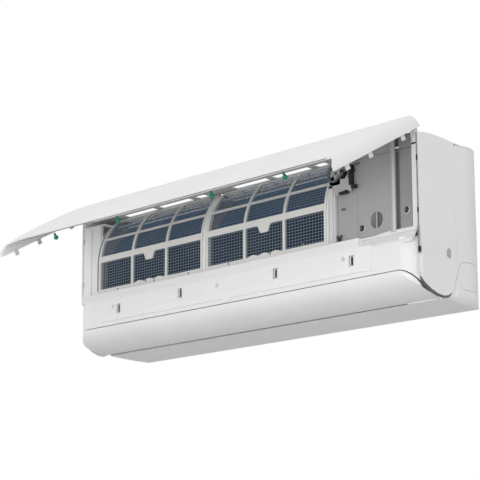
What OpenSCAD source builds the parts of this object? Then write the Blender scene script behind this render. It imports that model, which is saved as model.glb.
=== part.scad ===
/* [Body] */
// Width of the indoor unit
body_w = 900; // [880:1:940]
// Height of the body shell
body_h = 276; // [270:1:290]
// Depth from the wall to the closed front panel
body_d = 210; // [209:0.5:214]
// Wall thickness of the moulded shells
wall = 2.5; // [2:0.1:3]
// Depth at which the side covers end and the front panel begins
side_front = 181; // [179:0.5:182]
// Depth at which the side covers meet the rear housing
side_seam = 92; // [88:0.5:96]
// Plan radius of the rear vertical corners
rear_corner_r = 60; // [40:1:64]
// Radius of the rounded lower rear edge
lower_edge_r = 24; // [16:1:26]

/* [Front panel] */
// Angle by which the panel stands open
panel_open = 61.35; // [0:0.05:61.35]
// Height of the panel hinge above mid-height
hinge_z = 133.1; // [132:0.1:134]
// Depth of the panel hinge from the wall
hinge_y = 171.2; // [170:0.1:172]
// Height of the panel's upper edge above mid-height
panel_top = 137; // [135:0.5:138]
// Depth below mid-height of the panel's lower edge
panel_bottom = 63; // [60:0.5:64]
// How far the panel's two lower corners reach down
panel_ear = 91; // [86:0.5:93]
// Radius of the crown of the panel face
panel_crown_r = 1002; // [900:1:1200]
// Thickness of the panel skin
panel_t = 2.5; // [2:0.1:3]
// Diameter of the panel's hinge pins
panel_pin_d = 5; // [4:0.1:6]

/* [Air flap] */
// Depth of the flap's upper front edge
flap_front = 195; // [194:0.5:196]
// Drop of the flap's upper front edge below mid-height
flap_top = 90.8; // [90:0.1:92]
// Depth of the flap's rear edge
flap_rear = 118; // [117:0.5:119]
// Drop of the flap's rear edge below mid-height
flap_bottom = 130; // [129:0.5:131]
// Plan radius of the flap's and the chin's ends
end_r = 34; // [30:1:36]
// Thickness of the flap skin
flap_t = 2.2; // [2:0.1:2.6]
// Diameter of the flap's pivot pins
flap_pin_d = 5; // [4:0.1:6]

/* [Filters] */
// Depth of the filters' front faces
filter_y = 190; // [189:0.5:191]
// Radius of the curved upper part of the filters
filter_r = 126; // [122:0.5:128]
// Width of each filter
filter_w = 311; // [300:1:312]
// Gap between the filters
filter_gap = 9; // [8:1:12]
// Middle of the gap between the filters
filter_mid = -67; // [-70:1:-60]
// Thickness of the filter frames
filter_t = 3.2; // [2.6:0.1:3.4]
// Drop of the filters' lower edge below mid-height
filter_foot = 24; // [23:0.5:25]

/* [Air path] */
// Outer radius of the cross-flow fan
fan_r = 46; // [42:0.5:47]
// Blades round the fan
fan_blades = 35; // [24:1:40]
// Length of the fan
fan_len = 610; // [580:1:614]
// Depth of the fan's axis
fan_y = 92; // [91:0.5:93]
// Drop of the fan's axis below mid-height
fan_z = 22; // [21:0.5:23]
// Diameter of the fan shaft
shaft_d = 8; // [6:0.1:9]
// Swinging louvers in each half of the outlet
louvers = 4; // [3:1:4]
// Spacing of the louvers
louver_pitch = 72; // [60:0.5:76]
// Thickness of the evaporator slabs
coil_t = 24; // [20:0.5:24]
// Spacing of the evaporator fins that are drawn
fin_pitch = 7; // [6:0.5:10]
// Diameter of the evaporator's tube bends
tube_d = 7; // [6:0.1:8]

/* [Mounting] */
// Width of the wall plate
plate_w = 640; // [600:1:660]
// Height of the wall plate
plate_h = 196; // [180:1:200]
// Thickness of the wall plate
plate_t = 1.2; // [1:0.1:1.5]
// Spacing of the wall screws across
wall_screw_x = 450; // [400:1:480]
// Spacing of the wall screws up and down
wall_screw_z = 120; // [100:1:140]
// Diameter of the wall screw holes
wall_hole_d = 6; // [5:0.1:7]
// Diameter of the gas pipe
gas_pipe_d = 12.7; // [9.5:0.1:15.9]
// Diameter of the liquid pipe
liquid_pipe_d = 6.35; // [6.35:0.05:9.5]

/* [Hidden] */

// Shared values
$fn = 48;
over = 1;          // overrun of the cuts
seat = 0.3;        // gap of pieces that rest on each other
run = 0.1;         // radial running clearance of pins
half_w = body_w / 2;
half_h = body_h / 2;
mirror_side = [-1, 1];
lip_y = 199.5;     // front of the ledge under the filters
chin_y = 193.5;    // front of the chin below it

module along_x(x0, x1) {
    translate([x0, 0, 0]) rotate([90, 0, 90]) linear_extrude(height = x1 - x0) children();
}
module along_y(y0, y1) {
    translate([0, y1, 0]) rotate([90, 0, 0]) linear_extrude(height = y1 - y0) children();
}
module both_sides() {
    children();
    mirror([1, 0, 0]) children();
}
module bar(x0, x1, y0, y1, z0, z1) {
    translate([x0, y0, z0]) cube([x1 - x0, y1 - y0, z1 - z0]);
}
module rod(x0, x1, y, z, d) {
    translate([x0, y, z]) rotate([0, 90, 0]) cylinder(h = x1 - x0, d = d);
}
module rod_y(x, y0, y1, z, d) {
    translate([x, y1, z]) rotate([90, 0, 0]) cylinder(h = y1 - y0, d = d);
}
// Band of a ring between two angles less than a half turn apart
module arc_band(c, ro, ri, a0, a1) {
    far = ro * 2;
    intersection() {
        translate(c) difference() {
            circle(r = ro, $fn = 180);
            circle(r = ri, $fn = 180);
        }
        polygon([c, c + far * [cos(a0), sin(a0)], c + far * [cos((a0 + a1) / 2), sin((a0 + a1) / 2)],
                 c + far * [cos(a1), sin(a1)]]);
    }
}
function arc_points(c, r, a0, a1, n) =
    [for (i = [0 : n]) c + r * [cos(a0 + (a1 - a0) * i / n), sin(a0 + (a1 - a0) * i / n)]];
// Points given as shares of a depth and a height
function placed(shares, depth, height) = [for (p = shares) [-p[0] * depth, p[1] * height]];
// A round rod between two points, and a run of such rods with round corners
module leg(p, q, d) {
    v = q - p;
    translate(p) rotate([0, acos(v[2] / norm(v)), atan2(v[1], v[0])]) cylinder(h = norm(v), d = d);
}
module route(points, d) {
    for (i = [1 : len(points) - 1]) leg(points[i - 1], points[i], d);
    for (i = [1 : len(points) - 2]) translate(points[i]) sphere(d = d + run);
}
// A strip of even width between two points
module strip(p, q, t) {
    d = q - p;
    n = t / norm(d) * [-d[1], d[0]];
    polygon([p, q, q + n, p + n]);
}

// Rear housing
plate_gap = 0.4;
back_y = plate_t + plate_gap;
rear_drop = 7;
front_drop = 2;
top_rear_z = half_h - rear_drop;
top_front_z = half_h - front_drop;
grille_t = 2;
rim_z = top_rear_z - grille_t - seat;
base_front = 110;
base_front_drop = 131;
base_mid = 60;
base_mid_drop = 135.5;
bottom_side_r = 22;
cover_step = wall + seat;
module side_outline(inset) {
    r = lower_edge_r - inset;
    polygon(concat(
        [[-base_front, -base_front_drop + inset], [-base_mid, -base_mid_drop + inset]],
        arc_points([-back_y - lower_edge_r, -half_h + lower_edge_r], r, -90, 0, 8),
        [[-back_y - inset, rim_z], [-base_front, rim_z]]));
}
module plan_outline(inset) {
    r = rear_corner_r - inset;
    x = half_w - inset;
    front = side_seam - seat;
    x_front = half_w - cover_step - inset;
    right = concat(
        [[x_front, -base_front], [x_front, -front], [x, -front]],
        arc_points([half_w - rear_corner_r, -back_y - rear_corner_r], r, 0, 90, 12));
    polygon(concat(right, [for (i = [len(right) - 1 : -1 : 0]) [-right[i][0], right[i][1]]]));
}
module front_outline(inset) {
    r = bottom_side_r - inset;
    lo = [for (p = arc_points([half_w - bottom_side_r, -half_h + bottom_side_r], r, -90, 0, 8)) p];
    polygon(concat(lo, [[half_w - inset, half_h], [-half_w + inset, half_h]],
        [for (i = [len(lo) - 1 : -1 : 0]) [-lo[i][0], lo[i][1]]]));
}
module housing_form(inset) {
    intersection() {
        along_x(-half_w, half_w) side_outline(inset);
        translate([0, 0, -half_h - over]) linear_extrude(height = body_h + 2 * over) plan_outline(inset);
        along_y(-body_d, 0) front_outline(inset);
    }
}
// Knock-out for the pipes in each side
knock_y = 40;
knock_front = 88;
knock_foot = 48;
knock_z = half_h - knock_foot;
knock_h = 46;
knock_r = 18;
knock_gap = 0.6;
module knock_shape(grow) {
    r = knock_r + grow;
    h = knock_h / 2 - knock_r;
    intersection() {
        union() {
            for (s = mirror_side) translate([-knock_front + knock_r, -knock_z + s * h]) circle(r = r);
            polygon([[-knock_front - grow, -knock_z - h], [-knock_front - grow, -knock_z + h],
                     [-knock_y + grow, -knock_z + h], [-knock_y + grow, -knock_z - h]]);
            polygon([[-knock_front + knock_r, -knock_z - h - r], [-knock_front + knock_r, -knock_z + h + r],
                     [-knock_y + grow, -knock_z + h + r], [-knock_y + grow, -knock_z - h - r]]);
        }
        translate([-body_d, -body_h]) square([body_d - knock_y + grow, 2 * body_h]);
    }
}
pipe_slot_in = 190;
pipe_slot_x = half_w - pipe_slot_in;
pipe_slot_w = 210;
pipe_slot_h = 48;
pipe_slot_z = lower_edge_r - half_h;
module rear_housing() color("#e4e5e6") {
    difference() {
        housing_form(0);
        difference() {
            housing_form(wall);
            // ribs that carry the air scroll, the motor clamp and the board box
            for (x = [duct_x0 + wall, duct_mid, duct_x1 - wall])
                bar(x - wall / 2, x + wall / 2, -scroll_seat, 0, -fan_z - scroll_r, -fan_z);
        }
        translate([0, 0, over]) bar(-half_w, half_w, -base_front - over, -base_front + over, -body_h, body_h);
        along_x(-half_w - over, half_w + over) knock_shape(knock_gap);
        // pipe channel along the lower back
        bar(pipe_slot_x, pipe_slot_x + pipe_slot_w, -back_y - wall - over, over, pipe_slot_z,
            pipe_slot_z + pipe_slot_h);
        // hook slots for the wall plate
        for (s = mirror_side)
            bar(s * hook_x - hook_w, s * hook_x + hook_w, -back_y - wall - over, over,
                hook_z - hook_rise, hook_z + hook_rise);
    }
}
// Side of the knock-outs, flush with the shell
module pipe_knockouts() color("#e2e3e4") both_sides() {
    intersection() {
        difference() {
            housing_form(0);
            housing_form(wall);
        }
        along_x(0, half_w + over) knock_shape(0);
    }
}

// Wall plate
plate_z = 5;
plate_corner = 10;
hook_x = 230;
hook_w = 16;
hook_z = plate_h / 2 + plate_z - 16;
hook_rise = 8;
plate_window = 70;
module wall_plate() color("#b9bcc0") {
    difference() {
        along_y(-plate_t, 0) difference() {
            translate([-plate_w / 2, plate_z - plate_h / 2]) square([plate_w, plate_h]);
            for (sx = mirror_side, sz = mirror_side)
                translate([sx * wall_screw_x / 2, plate_z + sz * wall_screw_z / 2]) circle(d = wall_hole_d);
            translate([0, plate_z]) circle(d = wall_hole_d);
            for (x = [-2 : 2]) translate([x * plate_window * 1.5 - plate_window / 2,
                plate_z - wall_screw_z / 4 - plate_window / 4]) square([plate_window, plate_window / 3]);
            for (sx = mirror_side, sz = mirror_side)
                translate([sx * plate_w / 2, plate_z + sz * plate_h / 2]) circle(r = plate_corner, $fn = 8);
        }
    }
    // hooks that carry the housing
    for (s = mirror_side) {
        bar(s * hook_x - hook_w + over, s * hook_x + hook_w - over, -back_y - wall - plate_t, -plate_t,
            hook_z - plate_t / 2, hook_z + plate_t / 2);
        bar(s * hook_x - hook_w + over, s * hook_x + hook_w - over, -back_y - wall - 2 * plate_t,
            -back_y - wall - plate_t, hook_z - plate_t / 2, hook_z + hook_rise / 2);
    }
}

// Air path: fan, scroll and coil
fan_c = [-fan_y, -fan_z];
fan_x0 = -372;
fan_x1 = fan_x0 + fan_len;
duct_gap = 6;
duct_x0 = fan_x0 - duct_gap;
duct_x1 = fan_x1 + duct_gap;
duct_mid = (duct_x0 + duct_x1) / 2;
scroll_clear = 10;
scroll_r = fan_r + scroll_clear;
scroll_t = 2.4;
scroll_top = 48;
scroll_turn = 45;
scroll_seat = fan_y - scroll_r - scroll_t - seat;
floor_end_drop = 118;
floor_from = fan_c + scroll_r * [cos(-scroll_turn), sin(-scroll_turn)];
floor_run = (floor_end_drop + floor_from[1]) / sin(scroll_turn);
floor_to = floor_from - floor_run * [cos(scroll_turn), sin(scroll_turn)];
trough_z = 18;
trough_wall = 9;
module scroll_section() {
    arc_band(fan_c, scroll_r + scroll_t, scroll_r, -scroll_turn, scroll_top);
    strip(floor_to, floor_from, -scroll_t);
    // drain trough under the rear coil
    tip = fan_c + (scroll_r + scroll_t / 2) * [cos(scroll_top), sin(scroll_top)];
    polygon([[tip[0] - scroll_t, trough_z - scroll_t], [-back_y - wall - seat, trough_z - scroll_t],
             [-back_y - wall - seat, trough_z], [tip[0], trough_z], [tip[0], trough_z + trough_wall],
             [tip[0] - scroll_t, trough_z + trough_wall]]);
}
end_wall_t = 3;
cheek_low = 60;
cheek_high = 30;
cheek_step = 20;
cheek_toe = [-20, 8];
bush_od = 20;
hub_clear_d = 30;
module cheek_outline() {
    front = pan_back - seat;
    top = fan_r - fan_z + scroll_t;
    back = back_y + wall + seat;
    polygon([[-front, -cheek_low], [-front, -cheek_high], [-fan_y - cheek_step, top],
             [-fan_y + 2 * cheek_step, top], [-back, trough_z], [-back, -cheek_low],
             [floor_from[0] + scroll_t, floor_from[1]], floor_to + [scroll_t, 0], floor_to + cheek_toe]);
}
module air_scroll() color("#c9ccce") {
    along_x(duct_x0, duct_x1) scroll_section();
    difference() {
        along_x(duct_x0 - end_wall_t, duct_x0) cheek_outline();
        rod(duct_x0 - end_wall_t - over, duct_x0 + over, fan_c[0], fan_c[1], bush_od + 2 * seat);
    }
    difference() {
        along_x(duct_x1, duct_x1 + end_wall_t) cheek_outline();
        rod(duct_x1 - over, duct_x1 + end_wall_t + over, fan_c[0], fan_c[1], hub_clear_d);
    }
}
module fan_bush() color("#2c2d30") difference() {
    union() {
        rod(duct_x0 - end_wall_t, duct_x0, fan_c[0], fan_c[1], bush_od);
        rod(duct_x0 - 2 * end_wall_t, duct_x0 - end_wall_t - seat, fan_c[0], fan_c[1], bush_od + 3 * wall);
        rod(duct_x0 - 2 * end_wall_t, duct_x0, fan_c[0], fan_c[1], bush_od);
    }
    rod(duct_x0 - 2 * end_wall_t - over, duct_x0 + over, fan_c[0], fan_c[1], shaft_d + run);
}

// Cross-flow fan: rings of forward-curved blades between discs
blade_in = 0.78;
blade_t = 1.1;
disc_t = 2.2;
disc_count = 7;
blade_lean = 18;
module blade_section() {
    a = 360 / fan_blades;
    for (i = [0 : fan_blades - 1]) rotate(i * a) {
        p0 = fan_r * blade_in * [1, 0];
        pm = fan_r * (1 + blade_in) / 2 * [cos(blade_lean * 0.3), sin(blade_lean * 0.3)];
        p1 = (fan_r - blade_t / 2) * [cos(blade_lean), sin(blade_lean)] ;
        n0 = blade_t * [sin(10), -cos(10)];
        n1 = blade_t * [sin(45), -cos(45)];
        polygon([p0, pm, p1, p1 + n1, pm + (n0 + n1) / 2, p0 + n0]);
    }
}
module fan_wheel() color("#3d4248") {
    step = (fan_len - disc_t) / (disc_count - 1);
    translate([0, fan_c[0], fan_c[1]]) {
        along_x(fan_x0, fan_x1) blade_section();
        for (i = [0 : disc_count - 1]) along_x(fan_x0 + i * step, fan_x0 + i * step + disc_t)
            difference() {
                circle(r = fan_r, $fn = 120);
                if (i == 0 || i == disc_count - 1) circle(d = shaft_d + run);
                else circle(r = fan_r * blade_in - blade_t);
            }
        // hubs of the end discs
        for (x = [fan_x0 + disc_t, fan_x1 - disc_t - shaft_d]) along_x(x, x + shaft_d) difference() {
            circle(d = 2 * shaft_d);
            circle(d = shaft_d + run);
        }
    }
}
motor_gap = 24;
motor_x = fan_x1 + motor_gap;
motor_len = 58;
motor_d = 82;
shaft_end = motor_x + motor_len / 3;
module fan_shaft() color("#c4c8cc") {
    rod(duct_x0 - 2 * end_wall_t - over, fan_x0 + disc_t + shaft_d, fan_c[0], fan_c[1], shaft_d);
    rod(fan_x1 - disc_t - shaft_d, shaft_end, fan_c[0], fan_c[1], shaft_d);
}
module fan_motor() color("#8d9298") difference() {
    union() {
        rod(motor_x, motor_x + motor_len, fan_c[0], fan_c[1], motor_d);
        rod(motor_x - wall, motor_x, fan_c[0], fan_c[1], bush_od + wall);
        rod(motor_x + motor_len, motor_x + motor_len + 2 * wall, fan_c[0], fan_c[1], bush_od + wall);
    }
    rod(motor_x - wall - over, shaft_end + over, fan_c[0], fan_c[1], shaft_d + 2 * run);
}
clamp_t = 4;
clamp_w = 14;
module motor_clamp() color("#c9ccce") {
    x = motor_x + motor_len / 2;
    ro = motor_d / 2 + clamp_t;
    along_x(x - clamp_w, x + clamp_w) difference() {
        union() {
            translate(fan_c) circle(r = ro, $fn = 96);
            translate([fan_c[0], fan_c[1] - ro]) square([-fan_c[0] - back_y - wall - seat, 2 * ro]);
        }
        translate(fan_c) circle(d = motor_d + 2 * seat, $fn = 96);
        translate([fan_c[0] + ro, fan_c[1] - ro + clamp_t]) square([-fan_c[0] - ro - back_y - 4 * wall, 2 * ro - 2 * clamp_t]);
    }
}

// Evaporator: three finned slabs in an A shape over the fan
coil_over = 4;
coil_x0 = fan_x0 - coil_over;
coil_x1 = fan_x1 + coil_over;
fin_depth = 9;
fin_t = 1.6;
lower_c = [-165, -4];
lower_len = 88;
upper_c = [-135.5, 80];
upper_len = 74;
upper_lean = 36.9;
rear_c = [-64, 72];
rear_len = 92;
rear_lean = 31;
module coil_slab(c, len, lean, flip) {
    teeth = floor((coil_x1 - coil_x0) / fin_pitch);
    translate([0, c[0], c[1]]) rotate([lean, 0, 0]) translate([0, 0, -len / 2])
        linear_extrude(height = len) mirror([0, flip]) {
            translate([coil_x0, -coil_t / 2 + fin_depth]) square([coil_x1 - coil_x0, coil_t - fin_depth]);
            for (i = [0 : teeth - 1]) translate([coil_x0 + i * fin_pitch, -coil_t / 2])
                square([fin_t, fin_depth + over]);
        }
}
module coil_front_lower() color("#6f8296") coil_slab(lower_c, lower_len, 0, 0);
module coil_front_upper() color("#6f8296") coil_slab(upper_c, upper_len, -upper_lean, 0);
module coil_rear() color("#6f8296") coil_slab(rear_c, rear_len, rear_lean, 1);
tube_pitch = 21;
row_gap = 12;
coil_plate_t = 1.2;
coil_lip = 2;
function coil_places() = [[lower_c, 0, lower_len], [upper_c, -upper_lean, upper_len], [rear_c, rear_lean, rear_len]];
module tube_holes(d) {
    for (s = coil_places()) translate(s[0]) rotate(s[1])
        for (r = mirror_side, k = [-1.5 : 1.5]) translate([r * row_gap / 2, k * tube_pitch * (s[2] / lower_len)])
            circle(d = d, $fn = 24);
}
function turned(p, a) = [p[0] * cos(a) - p[1] * sin(a), p[0] * sin(a) + p[1] * cos(a)];
function slab_corner(s, side, end) = s[0] + turned([side * coil_t / 2, end * s[2] / 2], s[1]);
module coil_plate_shape() {
    s = coil_places();
    difference() {
        union() {
            for (p = s) translate(p[0]) rotate(p[1]) translate([-coil_t / 2, -p[2] / 2]) square([coil_t, p[2]]);
            polygon([slab_corner(s[0], -1, 1), slab_corner(s[0], 1, 1), slab_corner(s[1], 1, -1),
                     slab_corner(s[1], -1, -1)]);
            polygon([slab_corner(s[1], -1, 1), slab_corner(s[1], 1, 1), slab_corner(s[2], -1, 1),
                     slab_corner(s[2], 1, 1)]);
        }
        tube_holes(tube_d + 2 * seat);
    }
}
module coil_plate_left() color("#aeb3b8") along_x(coil_x0 - seat - coil_plate_t, coil_x0 - seat) coil_plate_shape();
module coil_plate_right() color("#aeb3b8") along_x(coil_x1 + seat, coil_x1 + seat + coil_plate_t) coil_plate_shape();
bend_leg = 4;
module tube_bend(span) {
    translate([0, -span / 2, 0]) rotate([0, 90, 0]) cylinder(h = bend_leg, d = tube_d, $fn = 24);
    translate([0, span / 2, 0]) rotate([0, 90, 0]) cylinder(h = bend_leg, d = tube_d, $fn = 24);
    translate([bend_leg, 0, 0]) rotate([0, 0, -90]) rotate_extrude(angle = 180, $fn = 48)
        translate([span / 2, 0]) circle(d = tube_d, $fn = 24);
}
module bends(x, side, starts) {
    for (s = coil_places(), r = mirror_side, k = starts) {
        span = tube_pitch * (s[2] / lower_len);
        translate([x, s[0][0], s[0][1]]) rotate([s[1], 0, 0])
            translate([0, r * row_gap / 2, k * span]) mirror([side > 0 ? 0 : 1, 0, 0])
                rotate([90, 0, 0]) tube_bend(span);
    }
}
module tube_bends_left() color("#b87a4b") bends(coil_x0 - seat, -1, [-1, 1]);
module tube_bends_right() color("#b87a4b") bends(coil_x1 + seat, 1, [0]);

// Front drain pan with the tongue over the outlet
pan_front = 184;
pan_back = 148.5;
pan_rim = 42;
pan_t = 2.2;
pan_floor = -(lower_c[1] - lower_len / 2 - seat);
tongue_y = chin_y - wall - seat;
tongue_z = 86;
tongue_root = 18;
pan_x0 = duct_x0 - end_wall_t;
pan_x1 = duct_x1 + end_wall_t;
module pan_section() {
    polygon([[-pan_front, -pan_rim], [-pan_front + pan_t, -pan_rim], [-pan_front + pan_t, -pan_floor],
             [-pan_back - pan_t, -pan_floor], [-pan_back - pan_t, -pan_rim], [-pan_back, -pan_rim],
             [-pan_back, -pan_floor - pan_t], [-pan_back - pan_t, -pan_floor - 2 * pan_t],
             [-tongue_y, -tongue_z], [-tongue_y, -tongue_z + pan_t], [-pan_front, -pan_floor - tongue_root]]);
}
module drain_pan() color("#d3d6d8") difference() {
    along_x(pan_x0, pan_x1) pan_section();
    for (s = mirror_side, i = [0 : louvers - 1])
        translate([louver_x(s, i), -louver_y, -half_h])
            cylinder(h = half_h - louver_pin_top, d = louver_pin_d + 2 * run);
}
spout_d = 13;
spout_len = 26;
spout_y = 166;
spout_drop = 63;
spout_flange_t = 2.5;
module drain_spout() color("#c6c9cb") difference() {
    x = pan_x1 + seat;
    union() {
        rod(x, x + spout_len, -spout_y, -spout_drop, spout_d);
        intersection() {
            rod(x, x + spout_flange_t, -spout_y, -spout_drop, 2 * spout_d);
            bar(x, x + spout_len, -spout_y - spout_d, -spout_y + spout_d, -spout_drop - spout_d / 2, -pan_floor + seat);
        }
    }
    rod(x - over, x + spout_len + over, -spout_y, -spout_drop, spout_d - 2 * pan_t);
}
// Points of the drain hose from the spout to the channel in the back
hose_route = [[262, -166, -63], [288, -166, -66], [318, -118, -98], [352, -84, -102], [368, -60, -96],
              [368, -46, -92], [368, -36, -92]];
hose_end = 8;
hose_d = 16;
module drain_hose() color("#dcdcd8") difference() {
    route(hose_route, hose_d, $fn = 12);
    rod(hose_route[0][0] - over, pan_x1 + 2 * seat + spout_len, -spout_y, -spout_drop, spout_d + 2 * seat);
}

// Stiff cuff on the hose's end, which takes the drain line
module hose_cuff() color("#dcdcd8") {
    p = hose_route[len(hose_route) - 1];
    rod_y(p[0], p[1] + seat, -hose_end, p[2], hose_d);
}

// Louvers hang by a pin from the tongue and are driven by a link bar
louver_y = 165;
louver_pin_d = 3;
louver_t = 1.6;
louver_top = 76;
louver_bottom = 106;
louver_nose = 14;
louver_pin_top = 54;
link_y = 130;
link_z = 101;
link_t = 2.4;
link_w = 6.4;
link_pin_d = 2.4;
link_play = 0.4;
link_end = 6;
louver_start = 34;
function louver_x(s, i) = duct_mid + s * (louver_start + i * louver_pitch);
module louver_at(x) color("#dfe1e2") translate([x, 0, 0]) {
    notch = -link_z + link_t + over;
    top = -louver_top - link_end;
    along_x(-louver_t / 2, louver_t / 2)
        polygon([[-louver_y - louver_nose, top - link_end], [-louver_y - louver_nose, -louver_bottom + link_end + link_t],
                 [-louver_y + link_end, -louver_bottom], [-link_y - link_w, -louver_bottom],
                 [-link_y - link_w, notch], [-link_y + link_t, notch], [-link_y + link_t, top],
                 [-louver_y + link_t, -louver_top + over], [-louver_y - link_t, -louver_top + over]]);
    translate([0, -louver_y, top]) cylinder(h = -louver_pin_top - over - top, d = louver_pin_d, $fn = 24);
    translate([0, -link_y, -link_z - link_t]) cylinder(h = 2 * link_t + 2 * over, d = link_pin_d, $fn = 24);
}
module link_bar(s) color("#d0d2d4") {
    x0 = min(louver_x(s, 0), louver_x(s, louvers - 1)) - link_end;
    x1 = max(louver_x(s, 0), louver_x(s, louvers - 1)) + link_end;
    difference() {
        bar(x0, x1, -link_y - link_w / 2, -link_y + link_w / 2, -link_z - link_t / 2, -link_z + link_t / 2);
        for (i = [0 : louvers - 1]) translate([louver_x(s, i), -link_y, -link_z - link_t])
            cylinder(h = 2 * link_t, d = link_pin_d + 2 * link_play, $fn = 24);
    }
}
module link_bar_left() link_bar(-1);
module link_bar_right() link_bar(1);

// Front frame: ledge, chin, posts and curved filter guides
band_top = 27;
band_bottom = 36;
flap_gap = 1.5;
chin_bottom = flap_top - flap_gap;
ledge_z = -filter_foot - seat;
frame_x = half_w - cover_step - seat;
side_wall_x = half_w - cover_step;
wall_front = side_front - 3;
chin_centre_y = chin_y - end_r;
lip_corner = 6;
lip_block = half_w - end_r - 2 * wall;
// On the right the lip ends and a ramp runs from the board box to the chin
bay_in = 122;
bay_x = half_w - bay_in;
bay_foot = 42;
filter_c = [filter_r - filter_y, 33];
guide_t = 3;
guide_w = 6;
guide_end_a = 134.5;   // degrees
guide_ro = filter_r - filter_t - seat;
guide_ri = guide_ro - guide_t;
side_gap = 1;
left_x0 = filter_mid - filter_gap / 2 - filter_w;
left_x1 = left_x0 + filter_w;
right_x0 = filter_mid + filter_gap / 2;
right_x1 = right_x0 + filter_w;
guide_x1 = right_x1 + side_gap + guide_t;
post_outer_in = 26;
post_inner_in = 40;
post_outer = half_w - post_outer_in;
post_inner = half_w - post_inner_in;
post_depth = 6.2;
post_step = 3;
top_bar_t = 3;
top_bar_drop = 16;
top_bar_z = hinge_z - top_bar_drop;
top_bar_w = 24;
// Bar behind the filters that ties the guides
cross_a = 137;   // degrees
cross_w = 8;
cross_t = 3;
flap_pin_y = 124;
flap_pin_z = 118;
pin_wall = 3.5;
hinge_wall = 6.5;
latch_x_share = [0.2844, 0.692];
latch_z = [55, 60];
slot_w = 13;
slot_h = 18;
rail_screw_share = [-0.365, -0.028, 0.325];
rail_screw_z = 54.5;
screw_hole_d = 3.4;
screw_head_d = 8;
screw_len = 9;
tab_z = [92, 5, -55];
tab_h = 9;
tab_t = 1.8;
// Small notches in the ledge under each filter, as shares of its width
notch_share = [0.222, 0.52, 0.59, 0.925];
notch_w = 3.5;
notch_h = 4.6;
notch_deep = 1.5;
module plan_front(front, x, r, back) {
    polygon(concat([[-x, -back], [x, -back]],
        arc_points([x - r, -front + r], r, 0, -90, 10), arc_points([-x + r, -front + r], r, -90, -180, 10)));
}
module plan_block(z0, z1, front, x, r, back) {
    translate([0, 0, z0]) linear_extrude(height = z1 - z0) plan_front(front, x, r, back);
}
module ledge_outline() {
    polygon([[-filter_y + filter_t + guide_t, ledge_z], [-lip_y + over, ledge_z], [-lip_y, ledge_z - over],
             [-lip_y, -band_top], [-chin_y, -band_bottom], [-chin_y, -chin_bottom], [-chin_y + wall, -chin_bottom],
             [-chin_y + wall, -band_bottom - over], [-lip_y + wall, -band_top - over],
             [-lip_y + wall, ledge_z - wall], [-filter_y + filter_t + guide_t, ledge_z - wall]]);
}
module bay_outline() {
    polygon([[-box_front + guide_t, ledge_z], [-box_front - seat, ledge_z], [-chin_y, -bay_foot], [-chin_y, -chin_bottom],
             [-chin_y + wall, -chin_bottom], [-chin_y + wall, -bay_foot - over], [-box_front - seat + over, ledge_z - wall],
             [-box_front + guide_t, ledge_z - wall]]);
}
module lip_plan() {
    polygon(concat([[-frame_x, 0], [bay_x, 0]], arc_points([bay_x - lip_corner, -lip_y + lip_corner], lip_corner, 0, -90, 6),
        arc_points([-frame_x + end_r, -lip_y + end_r], end_r, -90, -180, 10)));
}
// Front view of the opening for the flap, or of the flap with a gap round it
module flap_face(gap) {
    c = [frame_x - end_r, -chin_bottom - end_r];
    polygon(concat([[half_w, -half_h - over], [half_w, c[1]]], arc_points(c, end_r - gap, 0, 90, 10),
        arc_points([-c[0], c[1]], end_r - gap, 90, 180, 10), [[-half_w, c[1]], [-half_w, -half_h - over]]));
}
module ledge_end() {
    polygon([[-filter_y + filter_t + guide_t, ledge_z], [-lip_y + over, ledge_z], [-lip_y, ledge_z - over],
             [-lip_y, -band_top], [-chin_y, -band_bottom - over], [-filter_y + filter_t + guide_t, -band_bottom - over]]);
}
// Front-to-back profile of a filter guide between two radii
module guide_section(ro, ri) {
    arc_band(filter_c, ro, ri, guide_end_a, 180);
    translate([filter_c[0] - ro, ledge_z - over]) square([ro - ri, filter_c[1] - ledge_z + over]);
}
module latch_slots(y0, y1) {
    for (s = mirror_side, i = [0, 1]) {
        x = s * latch_x_share[i] * half_w;
        bar(x - slot_w / 2, x + slot_w / 2, y0, y1, -latch_z[i] - slot_h / 2, -latch_z[i] + slot_h / 2);
    }
}
module rail_holes(y0, y1, d) {
    for (x = rail_screw_share) rod_y(x * body_w, y0, y1, -rail_screw_z, d);
}
module frame_side_wall() {
    top = top_rear_z - grille_t - seat;
    x0 = side_wall_x - wall;
    difference() {
        along_x(x0, side_wall_x)
            polygon([[-wall_front, -band_bottom], [-wall_front, hinge_z + pin_wall],
                     [-hinge_y + hinge_wall, hinge_z + pin_wall], [-hinge_y + hinge_wall, top], [-base_front - seat, top],
                     [-base_front - seat, -flap_pin_z - over], [-flap_pin_y, -flap_pin_z - 2 * pin_wall],
                     [-flap_pin_y - 2 * hinge_wall, -flap_pin_z - pin_wall], [-chin_centre_y - over, -chin_bottom],
                     [-chin_centre_y - over, -band_bottom]]);
        for (z = tab_z) bar(x0 - over, side_wall_x + over, -wall_front - over, -wall_front + hinge_wall,
            z - tab_h / 2 - over, z + tab_h / 2 + over);
        rod(x0 - over, side_wall_x + over, -flap_pin_y, -flap_pin_z, flap_pin_d + 2 * run);
        rod(x0 - over, side_wall_x + over, -hinge_y, hinge_z, panel_pin_d + 2 * run);
    }
}
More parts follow.
